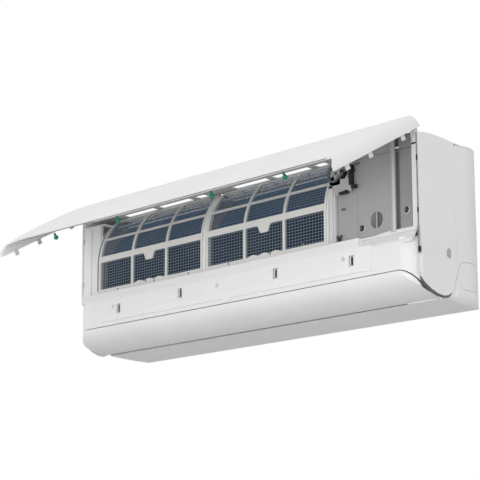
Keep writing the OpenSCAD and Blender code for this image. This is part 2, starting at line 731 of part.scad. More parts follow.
module frame_posts() {
    back = -side_front + post_depth;
    top = top_bar_z + top_bar_t;
    // left post with its stepped face
    translate([0, 0, ledge_z - over]) linear_extrude(height = top - ledge_z)
        polygon([[-side_wall_x + wall - seat, -wall_front], [-post_outer, -wall_front],
                 [-post_outer, -wall_front + post_step], [-post_inner, -wall_front + post_step],
                 [-post_inner, -side_front], [left_x0 - guide_w - side_gap, -side_front],
                 [left_x0 - guide_w - side_gap, back], [-side_wall_x + wall - seat, back]]);
    // curved guides beside and between the filters
    for (g = [[left_x0 - guide_w - side_gap, left_x0 - side_gap], [left_x1 + side_gap, right_x0 - side_gap],
              [right_x1 + side_gap, guide_x1]])
        along_x(g[0], g[1]) guide_section(filter_r, guide_ri);
    for (g = [[left_x0 - side_gap - over, left_x0 + guide_w], [left_x1 - guide_w, right_x0 + guide_w],
              [right_x1 - guide_w, guide_x1]])
        along_x(g[0], g[1]) guide_section(guide_ro, guide_ri);
    // bars behind the hinge line beside the filters, and the bar that ties the guides
    bar(-side_wall_x + over, left_x0 - side_gap, -wall_front, -wall_front + top_bar_w, top_bar_z, top);
    bar(right_x1 + side_gap, side_wall_x - over, -wall_front, -wall_front + top_bar_w, top_bar_z, top);
    along_x(left_x0 - side_gap - over, guide_x1)
        translate(filter_c + (guide_ri + over) * [cos(cross_a), sin(cross_a)] - [0, cross_t]) square([cross_w, cross_t]);
    // right post beside the board box
    bar(box_x1 + 2 * seat, side_wall_x - wall + seat, -wall_front, -wall_front + post_depth, ledge_z - over, top_bar_z + over);
}
module front_frame() color("#eceded") {
    difference() {
        union() {
            intersection() {
                along_x(-half_w, bay_x) ledge_outline();
                union() {
                    translate([0, 0, -band_bottom]) linear_extrude(height = half_h) lip_plan();
                    plan_block(-half_h, -band_bottom, chin_y, frame_x, end_r, 0);
                }
            }
            for (x = [[-half_w, -lip_block], [bay_x - lip_corner, bay_x]]) intersection() {
                along_x(x[0], x[1]) ledge_end();
                translate([0, 0, -half_h]) linear_extrude(height = 2 * half_h) lip_plan();
            }
            intersection() {
                along_x(bay_x - over, half_w) bay_outline();
                plan_block(-half_h, half_h, chin_y, frame_x, end_r, 0);
            }
            // cheeks beside the rounded ends of the flap
            difference() {
                plan_block(-chin_bottom - end_r, -chin_bottom + over, chin_y, frame_x, end_r, chin_centre_y);
                plan_block(-half_h, half_h, chin_y - wall, frame_x - wall, end_r - wall, 0);
                along_y(-body_d, 0) flap_face(0);
            }
            // rounded ends of the chin
            difference() {
                plan_block(-chin_bottom, -band_bottom, chin_y, frame_x, end_r, chin_centre_y);
                plan_block(-half_h, half_h, chin_y - wall, frame_x - wall, end_r - wall, 0);
                bar(-half_w + end_r, half_w - end_r, -chin_y - over, 0, -half_h, half_h);
            }
        }
        latch_slots(-chin_y - over, -chin_y + wall + over);
        rail_holes(-chin_y - over, -chin_y + wall + over, screw_hole_d);
        for (x0 = [left_x0, right_x0], k = notch_share)
            bar(x0 + k * filter_w - notch_w / 2, x0 + k * filter_w + notch_w / 2, -lip_y - over, -lip_y + notch_deep,
                -band_top + over / 2, -band_top + over / 2 + notch_h);
    }
    both_sides() frame_side_wall();
    frame_posts();
    // ledge behind the board box, and the shelf of the flap motor
    bar(guide_x1 - over, frame_x, -filter_y + guide_t, -box_front + guide_t, ledge_z - wall, ledge_z);
    bar(-side_wall_x + over, -arm_x + arm_t + motor_can_t, -flap_pin_y + motor_can_r + seat, -base_front - seat,
        -flap_pin_z + motor_can_r, -flap_pin_z + 2 * motor_can_r);
}

// Long cover strip on the chin, with the latch slots
rail_x_share = [-0.401, 0.3955];
rail_t = 2.2;
rail_top = 38;
rail_crease = 66;
rail_bottom = 82;
rail_groove = 0.6;
rail_step = 14;
rail_tab_w = 18;
rail_tab_h = 5;
rail_pocket_y = chin_y + rail_t - over;
module rail_cover() color("#f0f1f1") difference() {
    face = -chin_y - rail_t;
    x1 = rail_x_share[1] * body_w;
    union() {
        along_x(rail_x_share[0] * body_w, x1)
            polygon([[-chin_y - seat, -rail_top], [face, -rail_top - over], [face, -rail_crease + rail_groove],
                     [face + rail_groove, -rail_crease], [face, -rail_crease - rail_groove], [face, -rail_bottom + over],
                     [-chin_y - seat, -rail_bottom]]);
        // tab at the middle of the lower edge
        bar(-rail_tab_w / 2, rail_tab_w / 2, face + seat, -chin_y - seat, -rail_bottom - rail_tab_h, -rail_bottom + over);
    }
    latch_slots(face - over, -chin_y + over);
    rail_holes(face - over, -chin_y + over, screw_hole_d);
    rail_holes(face - over, -rail_pocket_y, screw_head_d + 2 * seat);
    bar(x1 - rail_step, x1 + over, face - over, -rail_pocket_y, -rail_bottom - over, -rail_bottom + rail_step / 2);
}
module pan_head(x, z, y_seat, head_d = screw_head_d) {
    rod_y(x, y_seat - screw_head_d / 4, y_seat, z, head_d - over);
    rod_y(x, y_seat, y_seat + screw_len, z, screw_hole_d - 2 * run);
}
module rail_screws() color("#9b9fa3") for (x = rail_screw_share) pan_head(x * body_w, -rail_screw_z, -rail_pocket_y);

// Top shell with its intake grille
grille_front = 163;
slot_rows = 6;
slot_cols = 9;
slot_bar = 5;
grille_margin = 14;
window_front = 150;
window_back = 134;
window_share = [[0.085, 0.375], [0.425, 0.72], [0.775, 0.86]];
top_depths = [148, 125, 103, 75];
top_points = [[-grille_front, top_front_z], [-top_depths[0], half_h], [-top_depths[1], top_front_z + over / 2],
              [-top_depths[2], top_rear_z + grille_t + over], [-top_depths[3], top_rear_z], [-back_y, top_rear_z]];
module top_section() polygon(concat(top_points,
    [for (i = [len(top_points) - 1 : -1 : 0]) top_points[i] - [0, grille_t]]));
module top_grille() color("#dfe0e1") difference() {
    intersection() {
        along_x(-half_w, half_w) top_section();
        translate([0, 0, half_h / 2]) linear_extrude(height = half_h) union() {
            translate([-frame_x, -grille_front]) square([2 * frame_x, grille_front - side_seam - over]);
            plan_outline(0);
        }
    }
    span = 2 * half_w - 2 * rear_corner_r;
    pitch = span / slot_cols;
    depth = (window_back - grille_margin) / slot_rows;
    for (r = [0 : slot_rows - 1], c = [0 : slot_cols - 1])
        bar(-span / 2 + c * pitch + slot_bar, -span / 2 + (c + 1) * pitch, -window_back + r * depth + slot_bar,
            -window_back + (r + 1) * depth, half_h / 2, half_h + over);
    for (x0 = [left_x0, right_x0], w = window_share)
        bar(x0 + w[0] * filter_w, x0 + w[1] * filter_w, -window_front, -window_back, half_h / 2, half_h + over);
}

// Side covers, with an outline in shares of their depth and of half the height
cover_share = [[1, 0.982], [1, -0.13], [0.972, -0.275], [0.972, -0.783], [0.851, -0.913], [0.762, -0.96],
               [0.685, -0.964], [0.613, -0.92], [0.552, -0.812]];
cover_foot_share = 0.64;
cover_top_share = [[0.569, 0.971], [0.691, 0.989], [0.818, 1], [0.912, 0.996]];
module cover_outline() polygon(concat(placed(cover_share, side_front, half_h),
    [[-side_seam, -half_h * cover_foot_share], [-side_seam, top_rear_z + over]], placed(cover_top_share, side_front, half_h)));
module side_cover_right() color("#e3e4e5") along_x(half_w - wall, half_w) cover_outline();
module side_cover_left() color("#e3e4e5") along_x(-half_w, -half_w + wall) cover_outline();

// Board box and its metal cover on the right
box_gap = 24;
box_in = 16.6;
box_x0 = coil_x1 + box_gap;
cover_t = 1;
box_x1 = half_w - box_in;
box_front = 178;
box_back = 140;
box_low = ledge_z + cover_t + 2 * seat;
box_high = 114;
box_t = 2;
cover_w = 132.4;
cover_lip = 18;
knob_in = 88;
knob_x = box_x0 + knob_in;
knob_z = 5;
knob_d = 28;
knob_bar = 3.2;
ridge_in = 127;
ridge_x = box_x0 + ridge_in;
ridge_w = 8;
ridge_drop = 12;
strip_w = 26;
box_screw_in = [55, 12];
box_screw_z = [-4.2, 10.8];
box_head_d = 12;
// Left part of the cover, a little proud
cover_step_w = 45;
cover_raise = 0.8;
box_screw = [[box_x0 + box_screw_in[0], box_screw_z[0]], [box_x1 - box_screw_in[1], box_screw_z[1]]];
boss_len = 8;
module control_box() color("#a9adb1") difference() {
    front = -box_front + cover_t + seat;
    union() {
        difference() {
            bar(box_x0, box_x1, front, -box_back, box_low, box_high);
            bar(box_x0 + box_t, box_x1 - box_t, front - over, -box_back - box_t, box_low + box_t, box_high - box_t);
        }
        // grey strip beside the cover, and the bosses of the screws
        bar(box_x1 - strip_w, box_x1, -box_front, front + over, box_low, box_high);
        for (p = box_screw) rod_y(p[0], front, front + boss_len, p[1], screw_head_d);
        bar(box_screw[0][0] - box_t, box_screw[0][0] + box_t, front, front + boss_len, box_low, box_screw[0][1]);
        bar(box_screw[1][0], box_x1, front, front + boss_len, box_screw[1][1] - box_t, box_screw[1][1] + box_t);
    }
    for (p = box_screw) rod_y(p[0], -body_d, front + boss_len + over, p[1], screw_hole_d);
}
module control_cover() color("#a4a7aa") {
    x1 = box_x0 + cover_w;
    low = box_low - cover_t - seat;
    difference() {
        union() {
            bar(box_x0, x1, -box_front, -box_front + cover_t, low, box_high);
            bar(ridge_x - ridge_w / 2, ridge_x + ridge_w / 2, -box_front - 2 * cover_t, -box_front + cover_t / 2,
                box_low, box_high - ridge_drop);
            bar(box_x0, x1, -box_front, -box_front + cover_lip, low, box_low - seat);
            bar(box_x0, box_x0 + cover_step_w, -box_front - cover_raise, -box_front + cover_t / 2, low, box_high);
        }
        rod_y(box_screw[0][0], -body_d, 0, box_screw[0][1], screw_hole_d);
        difference() {
            rod_y(knob_x, -body_d, -box_back, knob_z, knob_d);
            bar(knob_x - knob_bar / 2, knob_x + knob_bar / 2, -body_d - over, 0, knob_z - knob_d, knob_z + knob_d);
        }
    }
}
module box_screws() color("#6f7377") for (p = box_screw) pan_head(p[0], p[1], -box_front, box_head_d);
board_t = 1.6;
board_gap = 4;
board_y = box_back + box_t + board_gap;
board_leg_d = 5;
module control_board() color("#2f6b45") {
    x = [box_x0 + board_gap, box_x1 - board_gap];
    z = [box_low + board_gap, box_high - board_gap];
    bar(x[0], x[1], -board_y, -board_y + board_t, z[0], z[1]);
    for (px = [x[0] + board_leg_d, x[1] - board_leg_d], pz = [z[0] + board_leg_d, z[1] - board_leg_d])
        rod_y(px, -board_y, -box_back - box_t - seat, pz, board_leg_d);
}
// Places of the board's large parts as shares of the box
board_part_share = [[0.21, 0.7], [0.38, 0.56], [0.21, 0.28]];
cap_d = 18;
cap_h = 20;
relay_size = [20, 14, 28];
block_size = [54, 14, 18];
block_ways = 5;
block_hole_d = 5;
function board_at(i) = [box_x0 + board_part_share[i][0] * (box_x1 - box_x0),
                        box_low + board_part_share[i][1] * (box_high - box_low)];
module capacitor() color("#3b4a63")
    rod_y(board_at(0)[0], -board_y - cap_h - seat, -board_y - seat, board_at(0)[1], cap_d);
module board_brick(p, size) {
    bar(p[0], p[0] + size[0], -board_y - size[1] - seat, -board_y - seat, p[1], p[1] + size[2]);
}
module relay() color("#2b4d86") board_brick(board_at(1), relay_size);
module terminal_block() color("#3a3d40") difference() {
    p = board_at(2);
    pitch = block_size[0] / block_ways;
    board_brick(p, block_size);
    for (i = [0.5 : block_ways - 0.5])
        rod_y(p[0] + i * pitch, -board_y - block_size[1] - over, -board_y - block_size[1] / 2,
            p[1] + block_size[2] / 2, block_hole_d);
}

// Small pieces between the filters and the board box
small_gap = 0.5;
small_x = guide_x1 + small_gap + seat;
small_y = filter_y - guide_t;
small_back = box_front - guide_t;
guide_high = 77;
guide_strip = 8;
guide_span = 11;
module cable_guide() color("#e6e7e7")
    translate([0, 0, ledge_z + seat]) linear_extrude(height = guide_high - ledge_z)
        polygon([[small_x, -small_y], [small_x + guide_strip, -small_y], [small_x + guide_strip, -small_y + guide_t],
                 [small_x + guide_span, -small_y + guide_t], [small_x + guide_span, -small_back],
                 [small_x, -small_back]]);
bracket_t = 6;
bracket_h = 36;
bracket_hole_d = 5;
bracket_span = 26;
bracket_back = box_front + cover_raise + 2 * seat;
module lead_bracket() color("#b4b8bb") {
    low = guide_high + 2 * seat;
    x1 = small_x + bracket_span;
    difference() {
        union() {
            bar(small_x, x1, -small_y, -bracket_back, low, low + bracket_t);
            bar(small_x, small_x + 2 * bracket_t, -small_y, -bracket_back, low, low + bracket_h);
            bar(x1 - bracket_t, x1, -small_y, -bracket_back, low, low + bracket_h);
            bar(small_x, x1, -small_y + guide_t, -bracket_back, low + bracket_h - 2 * bracket_t, low + bracket_h - bracket_t);
        }
        rod_y(small_x + bracket_t, -body_d, 0, low + bracket_h - bracket_t, bracket_hole_d);
    }
}
// Points of the two black leads and of the small clip below them
lead_route = [[275, -189.4, 118], [258, -189.4, 108], [255, -189.4, 92], [266, -189.4, 84], [282, -189.4, 92],
              [298, -182, 106], [318, -181, 108]];
clip_route = [[266.8, -181.6, -9], [270.8, -181.6, -18.5], [275.8, -181.6, -8.5]];
lead_d = 4;
module black_leads() color("#1c1d1f") {
    route(lead_route, lead_d, $fn = 8);
    route(clip_route, lead_d, $fn = 8);
}

// Flap motor: its shaft lies off the middle of the can
motor_can_r = 12;
motor_can_t = 18;
motor_offset = 8;
arm_x = half_w - 19;
arm_t = 4;
module flap_motor() color("#b6babd") {
    x = -arm_x + arm_t + seat;
    rod(x, x + motor_can_t, -flap_pin_y, -flap_pin_z + motor_offset, 2 * motor_can_r);
    rod(-arm_x + over + seat, x + over, -flap_pin_y, -flap_pin_z, flap_pin_d - 2 * run);
}

// Copper pipes from the rear slab to the channel in the back
gas_gap = 12;
liquid_gap = 22;
gas_x = coil_x1 + gas_gap;
liquid_x = coil_x1 + liquid_gap;
gas_z = 80;
liquid_z = 102;
pipe_out = 76;
pipe_end = 8;
nut_len = 18;
nut_gap = 12;
function tube_place(side, k) = rear_c + turned([side * row_gap / 2, k * tube_pitch * rear_len / lower_len], rear_lean);
module copper_pipe(p, x, z, d) {
    leg([coil_x1 + seat, p[0], p[1]], [x, p[0], p[1]], tube_d - run);
    xo = pipe_slot_x + pipe_out;
    route([[x, p[0], p[1]], [x, p[0], -z], [xo, p[0], -z], [xo, -pipe_end, -z]], d);
    translate([x, p[0], p[1]]) sphere(d = d);
    rod_y(xo, -pipe_end - nut_len - nut_gap, -pipe_end - nut_gap, -z, 2 * d - wall);
}
module gas_pipe() color("#b87a4b") copper_pipe(tube_place(-1, -1.5), gas_x, gas_z, gas_pipe_d);
module liquid_pipe() color("#b87a4b") copper_pipe(tube_place(1, -1.5), liquid_x, liquid_z, liquid_pipe_d);

// Front panel, built closed and then swung open about its hinge
panel_edge_gap = 2.5;
panel_edge_y = side_front + panel_edge_gap;
panel_r = body_d - panel_edge_y;
panel_mid_z = (panel_top - panel_bottom) / 2;
ear_r = 38;   // rounding of the panel's two lower corners
ear_x = half_w - ear_r;
module swing_open() {
    translate([0, -hinge_y, hinge_z]) rotate([-panel_open, 0, 0]) translate([0, hinge_y, -hinge_z]) children();
}
module panel_form(inset, back) intersection() {
    along_x(-half_w + inset, half_w - inset) intersection() {
        translate([-body_d - over, -panel_ear]) square([body_d + over - back, panel_ear + panel_top - inset]);
        translate([-body_d + panel_crown_r, panel_mid_z]) circle(r = panel_crown_r - inset, $fn = 720);
    }
    plan_block(-panel_ear, half_h, body_d - inset, half_w - inset, panel_r - inset, back);
}
module panel_shell() color("#f2f3f3") swing_open() difference() {
    panel_form(0, panel_edge_y);
    panel_form(panel_t, panel_edge_y - 2 * panel_t);
    along_y(-body_d - over, -panel_edge_y + over) {
        translate([-ear_x, -half_h]) square([2 * ear_x, half_h - panel_bottom]);
        for (s = mirror_side) translate([s * ear_x, -panel_bottom - ear_r]) circle(r = ear_r);
    }
}
// Inner frame along the panel's edges
liner_in = 9.5;
liner_face = body_d - liner_in;
liner_t = 1.8;
liner_lift = 2;
liner_drop = 16;
liner_low = panel_bottom - liner_lift;
liner_high = panel_top - liner_drop;
liner_band = 8;
liner_ribs = 6;
module panel_liner() color("#c3c6c8") swing_open() {
    y0 = -liner_face - liner_t;
    for (z = [-liner_low, liner_high - liner_band]) bar(-ear_x, ear_x, y0, -liner_face, z, z + liner_band);
    for (i = [0 : liner_ribs]) {
        x = (2 * i / liner_ribs - 1) * (ear_x - liner_band);
        bar(x - liner_band / 2, x + liner_band / 2, y0, -liner_face, -liner_low, liner_high);
    }
    // webs that reach the skin
    intersection() {
        panel_form(panel_t + seat, panel_edge_y);
        for (z = [-liner_low, liner_high - liner_t]) bar(-ear_x, ear_x, -body_d, y0 + over, z, z + liner_t);
    }
}
hook_face_w = 9;
hook_root = 2;
hook_drop = 4;
hook_nose = 6.5;
module latch_hooks() color("#0f6b53") swing_open() for (s = mirror_side, i = [0, 1]) {
    x = s * latch_x_share[i] * half_w;
    z = -latch_z[i] + over;
    tip = -pan_front - over;
    root = -liner_face + seat;
    along_x(x - hook_face_w / 2, x + hook_face_w / 2)
        polygon([[root, z - hook_drop], [tip, z - hook_root], [tip, z + hook_drop], [tip - hook_root, z + hook_nose],
                 [tip - 2 * hook_root, z + hook_drop], [tip - hook_drop, z + hook_root], [root, z + hook_root]]);
}
hinge_arm_w = 7;
hinge_arm_r = 4.4;
hinge_arm_in = 15.4;
hinge_arm_front = body_d - hinge_arm_in;
hinge_arm_top = 4.5;
hinge_arm_low = 13;
module panel_pins() color("#c9ccce") swing_open() both_sides() {
    x1 = side_wall_x - wall - seat;
    along_x(x1 - hinge_arm_w, x1)
        polygon(concat(arc_points([-hinge_y, hinge_z], hinge_arm_r, -60, 150, 9),
            [[-hinge_arm_front, panel_top - hinge_arm_top], [-hinge_arm_front, panel_top - hinge_arm_low],
             [-hinge_y - 2 * hinge_arm_r, panel_top - hinge_arm_low]]));
    rod(x1 - over, side_wall_x, -hinge_y, hinge_z, panel_pin_d);
    // end tabs that enter the slots beside the side covers
    xt = half_w - panel_t - seat;
    for (z = tab_z) bar(xt - tab_t, xt, -panel_edge_y - hook_root, -side_front + hinge_wall, z - tab_h / 2, z + tab_h / 2);
}

// Air flap
flap_in = 3;
flap_x = frame_x - flap_in;
flap_a = flap_front - flap_rear;
flap_b = flap_bottom - flap_top;
flap_steps = 16;
function flap_point(a, inset) = [-flap_rear + (flap_a - inset) * cos(a), -flap_top + (flap_b - inset) * sin(a)];
module flap_solid(inset) intersection() {
    along_x(-flap_x + inset, flap_x - inset)
        polygon([for (i = [0 : flap_steps]) flap_point(180 + 90 * i / flap_steps, inset)]);
    plan_block(-half_h, 0, flap_front - inset, frame_x - inset, end_r - inset, 0);
    along_y(-body_d, 0) flap_face(flap_gap);
}
module flap_skin() color("#e9eaea") difference() {
    flap_solid(0);
    flap_solid(flap_t);
    // open top between the two rolled edges
    along_x(-half_w, half_w) polygon(concat(
        [for (a = [183, 267]) flap_point(a, flap_t + flap_t / 2)],
        [[-flap_rear + flap_t, -flap_bottom + flap_t], [-flap_rear + flap_t, 0], [-flap_front - over, 0],
         [-flap_front - over, -flap_top - flap_t]]));
}
flap_liner_in = 50;
liner_end = half_w - flap_liner_in;
module flap_liner() color("#dddedf") along_x(-liner_end, liner_end) polygon(concat(
    [for (a = [192 : 12 : 264]) flap_point(a, flap_t + seat)],
    [for (a = [264 : -12 : 192]) flap_point(a, flap_t + seat + liner_t)]));
module flap_arms() color("#c9ccce") for (s = mirror_side) {
    x0 = s > 0 ? arm_x : -arm_x;
    difference() {
        along_x(x0, x0 + arm_t) polygon(concat(
            arc_points([-flap_pin_y, -flap_pin_z], flap_pin_d + over, 0, 130, 8),
            [for (a = [225 : 9 : 261]) flap_point(a, flap_t + seat)]));
        if (s < 0) rod(x0 + over, x0 + arm_t + over, -flap_pin_y, -flap_pin_z, flap_pin_d);
    }
    rod(s > 0 ? x0 + arm_t - over : -side_wall_x, s > 0 ? side_wall_x : x0 + over / 2,
        -flap_pin_y, -flap_pin_z, flap_pin_d);
}

// Filters: frame with its ribs, and the net that it holds
rib_w = 6;
foot_h = 8.7;
thick_rib = [38.5, 50];
thin_rib_a = [153.9, 156.1];
filter_end_a = [130, 132];
grip = [17, 9];
grip_drop = 14;
tab_share = 0.14;
tab_rise = 3.2;
net_in = 1.2;
net_t = 0.8;
net_cols = 6;
net_rows = [3, 2, 3];
module filter_profile(ro, ri) {
    arc_band(filter_c, ro, ri, filter_end_a[0], 180);
    translate([filter_c[0] - ro, -filter_foot]) square([ro - ri, filter_c[1] + filter_foot]);
}
module filter_rails() {
    translate([-filter_y, -filter_foot]) square([filter_t, foot_h]);
    translate([-filter_y, thick_rib[0]]) square([filter_t, thick_rib[1] - thick_rib[0]]);
    arc_band(filter_c, filter_r, filter_r - filter_t, thin_rib_a[0], thin_rib_a[1]);
    arc_band(filter_c, filter_r, filter_r - filter_t, filter_end_a[0], filter_end_a[1]);
}
module filter_frame(x0) color("#d9d8d4") {
    mid = x0 + filter_w / 2;
    for (k = [0 : 3]) {
        x = x0 + k * (filter_w - rib_w) / 3;
        along_x(x, x + rib_w) filter_profile(filter_r, filter_r - filter_t);
    }
    along_x(x0, x0 + filter_w) filter_rails();
    along_y(-filter_y, -filter_y + filter_t) filter_grips(mid);
}
// Grip under the thick rib, and the wavy pull tab on the foot
module filter_grips(mid) {
    polygon([[mid - grip[0], thick_rib[0] + over], [mid + grip[0], thick_rib[0] + over],
             [mid + grip[1], thick_rib[0] - grip_drop], [mid - grip[1], thick_rib[0] - grip_drop]]);
    polygon(concat(
        [for (i = [0 : 24]) [mid + (i / 12 - 1) * tab_share * filter_w,
                             -filter_foot + foot_h + tab_rise * (1 - cos(i * 45)) / 2 + over / 4]],
        [for (i = [1, -1]) [mid + i * tab_share * filter_w, -filter_foot + over]]));
}
// The net's strands lie in three rows of openings, three across
module net_windows() {
    far = filter_y;
    translate([-filter_y - over, -filter_foot + foot_h]) square([2 * filter_t, thick_rib[0] + filter_foot - foot_h]);
    difference() {
        intersection() {
            translate([-filter_y - over, thick_rib[1]]) square(far);
            polygon([filter_c, filter_c + far * [cos(thin_rib_a[1]), sin(thin_rib_a[1])],
                     filter_c + far * [-1, 0]]);
        }
    }
    polygon([filter_c, filter_c + far * [cos(filter_end_a[1]), sin(filter_end_a[1])],
             filter_c + far * [cos(thin_rib_a[0]), sin(thin_rib_a[0])]]);
}
module net_band() intersection() {
    filter_profile(filter_r - net_in, filter_r - net_in - net_t);
    net_windows();
}
module net_lines() {
    ro = filter_r - net_in;
    ri = ro - net_t;
    low = -filter_foot + foot_h;
    for (i = [1 : net_rows[0] - 1])
        translate([filter_c[0] - ro, low + i * (thick_rib[0] - low) / net_rows[0]]) square([net_t, net_t]);
    a1 = 180 - asin((thick_rib[1] - filter_c[1]) / filter_r);
    half = net_t / ro * 30;
    for (i = [1 : net_rows[1] - 1]) {
        a = a1 + i * (thin_rib_a[1] - a1) / net_rows[1];
        arc_band(filter_c, ro, ri, a - half, a + half);
    }
    for (i = [1 : net_rows[2] - 1]) {
        a = thin_rib_a[0] + i * (filter_end_a[1] - thin_rib_a[0]) / net_rows[2];
        arc_band(filter_c, ro, ri, a - half, a + half);
    }
}
module filter_net(x0) color("#8f949a") difference() {
    for (k = [0 : 2]) {
        xa = x0 + k * (filter_w - rib_w) / 3 + rib_w;
        xb = x0 + (k + 1) * (filter_w - rib_w) / 3;
        for (i = [1 : net_cols - 1]) {
            x = xa + i * (xb - xa) / net_cols;
            along_x(x - net_t / 2, x + net_t / 2) net_band();
        }
        along_x(xa, xb) net_lines();
    }
    along_y(-filter_y, -filter_y + filter_t) filter_grips(x0 + filter_w / 2);
}
module filter_frame_left() filter_frame(left_x0);
module filter_frame_right() filter_frame(right_x0);
module filter_net_left() filter_net(left_x0);
module filter_net_right() filter_net(right_x0);

wall_plate();
rear_housing();
air_scroll();
front_frame();
rail_cover();
top_grille();
side_cover_left();
side_cover_right();
pipe_knockouts();
control_cover();
control_box();
control_board();
capacitor();
relay();
terminal_block();
box_screws();
rail_screws();
coil_front_lower();
coil_front_upper();
coil_rear();
coil_plate_left();
coil_plate_right();
tube_bends_left();
tube_bends_right();
drain_pan();
drain_spout();
drain_hose();
hose_cuff();
fan_motor();
motor_clamp();
fan_bush();
flap_motor();
cable_guide();
lead_bracket();
black_leads();
gas_pipe();
liquid_pipe();
panel_shell();
panel_liner();
latch_hooks();
panel_pins();
flap_skin();
flap_liner();
flap_arms();
fan_wheel();
fan_shaft();
filter_frame_left();
filter_frame_right();
filter_net_left();
filter_net_right();
link_bar_left();
link_bar_right();
for (i = [0 : louvers - 1]) {
    louver_at(louver_x(-1, i));
    louver_at(louver_x(1, i));
}
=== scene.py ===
# %% [markdown]
# # Mini split indoor unit with its front panel open
# The solids come from CAD and are the fixed frame of this scene.
# Here they get their finishes, and the pieces whose fine form CAD leaves plain are worked out as
# surfaces: the air flap, the filter nets, the fin packs, the leads, the drain hose, the screw heads and a
# number of small fittings.
# All lengths are in metres; +X runs along the unit, +Y goes to the wall and +Z is up.

# %% Load the frame
import math

import bmesh
import bpy
import numpy as np
from mathutils import Matrix, Vector


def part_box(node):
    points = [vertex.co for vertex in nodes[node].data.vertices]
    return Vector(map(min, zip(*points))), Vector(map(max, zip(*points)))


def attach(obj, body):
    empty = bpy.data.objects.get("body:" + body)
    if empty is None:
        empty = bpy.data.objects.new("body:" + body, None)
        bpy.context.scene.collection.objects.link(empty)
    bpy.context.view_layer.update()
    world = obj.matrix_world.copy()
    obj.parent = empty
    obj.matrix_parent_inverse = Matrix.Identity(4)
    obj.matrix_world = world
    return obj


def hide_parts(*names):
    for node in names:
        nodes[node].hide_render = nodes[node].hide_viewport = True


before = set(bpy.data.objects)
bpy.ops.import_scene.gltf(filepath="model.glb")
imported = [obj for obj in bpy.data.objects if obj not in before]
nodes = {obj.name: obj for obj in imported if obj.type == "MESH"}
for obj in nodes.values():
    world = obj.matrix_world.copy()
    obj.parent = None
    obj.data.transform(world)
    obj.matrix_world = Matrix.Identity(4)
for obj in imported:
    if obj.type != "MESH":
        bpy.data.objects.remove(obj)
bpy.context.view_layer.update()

MM = 0.001

# %% [markdown]
# ## Camera
# The view is from the right and a little from below, through a long lens.
# Azimuth, elevation and roll give the three directions of the camera, and the lens follows from the
# focal length in pixels over the picture's width.

# %% Camera
AZIMUTH, ELEVATION, ROLL = 47.902, -11.874, -0.171
EYE = Vector((2229.9, -2176.8, -602.7)) * MM
FOCAL_PIXELS, PICTURE, SENSOR = 1697.4, 480, 36.0


def aim(azimuth, elevation, roll):
    """Camera axes: backwards from the two angles, right level with the floor, then turned by the roll."""
    a, e, r = (math.radians(v) for v in (azimuth, elevation, roll))
    back = Vector((math.sin(a) * math.cos(e), -math.cos(a) * math.cos(e), math.sin(e)))
    level = Vector((math.cos(a), math.sin(a), 0))
    upward = back.cross(level)
    right = level * math.cos(r) + upward * math.sin(r)
    return Matrix((right, back.cross(right), back)).transposed()


lens = bpy.data.cameras.new("studio_lens")
lens.sensor_fit = "HORIZONTAL"
lens.sensor_width = SENSOR
lens.lens = SENSOR * FOCAL_PIXELS / PICTURE
lens.clip_start, lens.clip_end = 0.05, 60
camera = bpy.data.objects.new("studio_camera", lens)
camera.matrix_world = Matrix.Translation(EYE) @ aim(AZIMUTH, ELEVATION, ROLL).to_4x4()
bpy.context.scene.collection.objects.link(camera)
bpy.context.scene.camera = camera
bpy.context.scene.view_settings.view_transform = "Standard"

# %% [markdown]
# ## Light and floor
# A studio shot on white: broad soft lamps and an even white world.
# The world is white where the camera or a mirror-like surface looks at it, and a soft grey where it only
# lights.
# The floor is a plain pale sheet well below the unit; from underneath it is clear, so that low views pass it.

# %% World, lamps and floor
WORLD_LIGHT = 0.64


def mix_by(tree, test, a, b):
    """A shader that is a where the test is 0 and b where it is 1."""
    mix = tree.nodes.new("ShaderNodeMixShader")
    tree.links.new(test, mix.inputs[0])
    tree.links.new(a, mix.inputs[1])
    tree.links.new(b, mix.inputs[2])
    return mix.outputs[0]


def seen_directly(tree):
    """1 for the camera's own rays and for glossy and transmitted ones."""
    path = tree.nodes.new("ShaderNodeLightPath")
    first = tree.nodes.new("ShaderNodeMath")
    first.operation = "MAXIMUM"
    tree.links.new(path.outputs["Is Camera Ray"], first.inputs[0])
    tree.links.new(path.outputs["Is Glossy Ray"], first.inputs[1])
    both = tree.nodes.new("ShaderNodeMath")
    both.operation = "MAXIMUM"
    tree.links.new(first.outputs[0], both.inputs[0])
    tree.links.new(path.outputs["Is Transmission Ray"], both.inputs[1])
    return both.outputs[0]


world = bpy.data.worlds.new("white_studio")
world.use_nodes = True
bpy.context.scene.world = world
tree = world.node_tree
tree.nodes.clear()
light_only = tree.nodes.new("ShaderNodeBackground")
light_only.inputs["Color"].default_value = (1, 1, 1, 1)
light_only.inputs["Strength"].default_value = WORLD_LIGHT
white = tree.nodes.new("ShaderNodeBackground")
white.inputs["Color"].default_value = (1, 1, 1, 1)
world_out = tree.nodes.new("ShaderNodeOutputWorld")
tree.links.new(mix_by(tree, seen_directly(tree), light_only.outputs[0], white.outputs[0]),
               world_out.inputs[0])


def lamp(name, place, target, size, power):
    """A square soft lamp at a place, turned to a target."""
    data = bpy.data.lights.new(name, "AREA")
    data.shape = "SQUARE"
    data.size = size
    data.energy = power
    made = bpy.data.objects.new(name, data)
    made.location = place
    made.rotation_mode = "QUATERNION"
    made.rotation_quaternion = (Vector(target) - Vector(place)).to_track_quat("-Z", "Y")
    bpy.context.scene.collection.objects.link(made)


# Each lamp has its place, the side of its square in metres and its power in watts.
LAMP_TARGET = (0, -0.15, 0)
LAMPS = {"key": ((-1.2, -2.6, 2.4), 2.2, 20), "front": ((1.2, -2.9, -0.5), 1.6, 34),
         "side": ((3.0, -1.0, 0.9), 1.8, 12)}
for label, (stand, size, power) in LAMPS.items():
    lamp(label, stand, LAMP_TARGET, size, power)

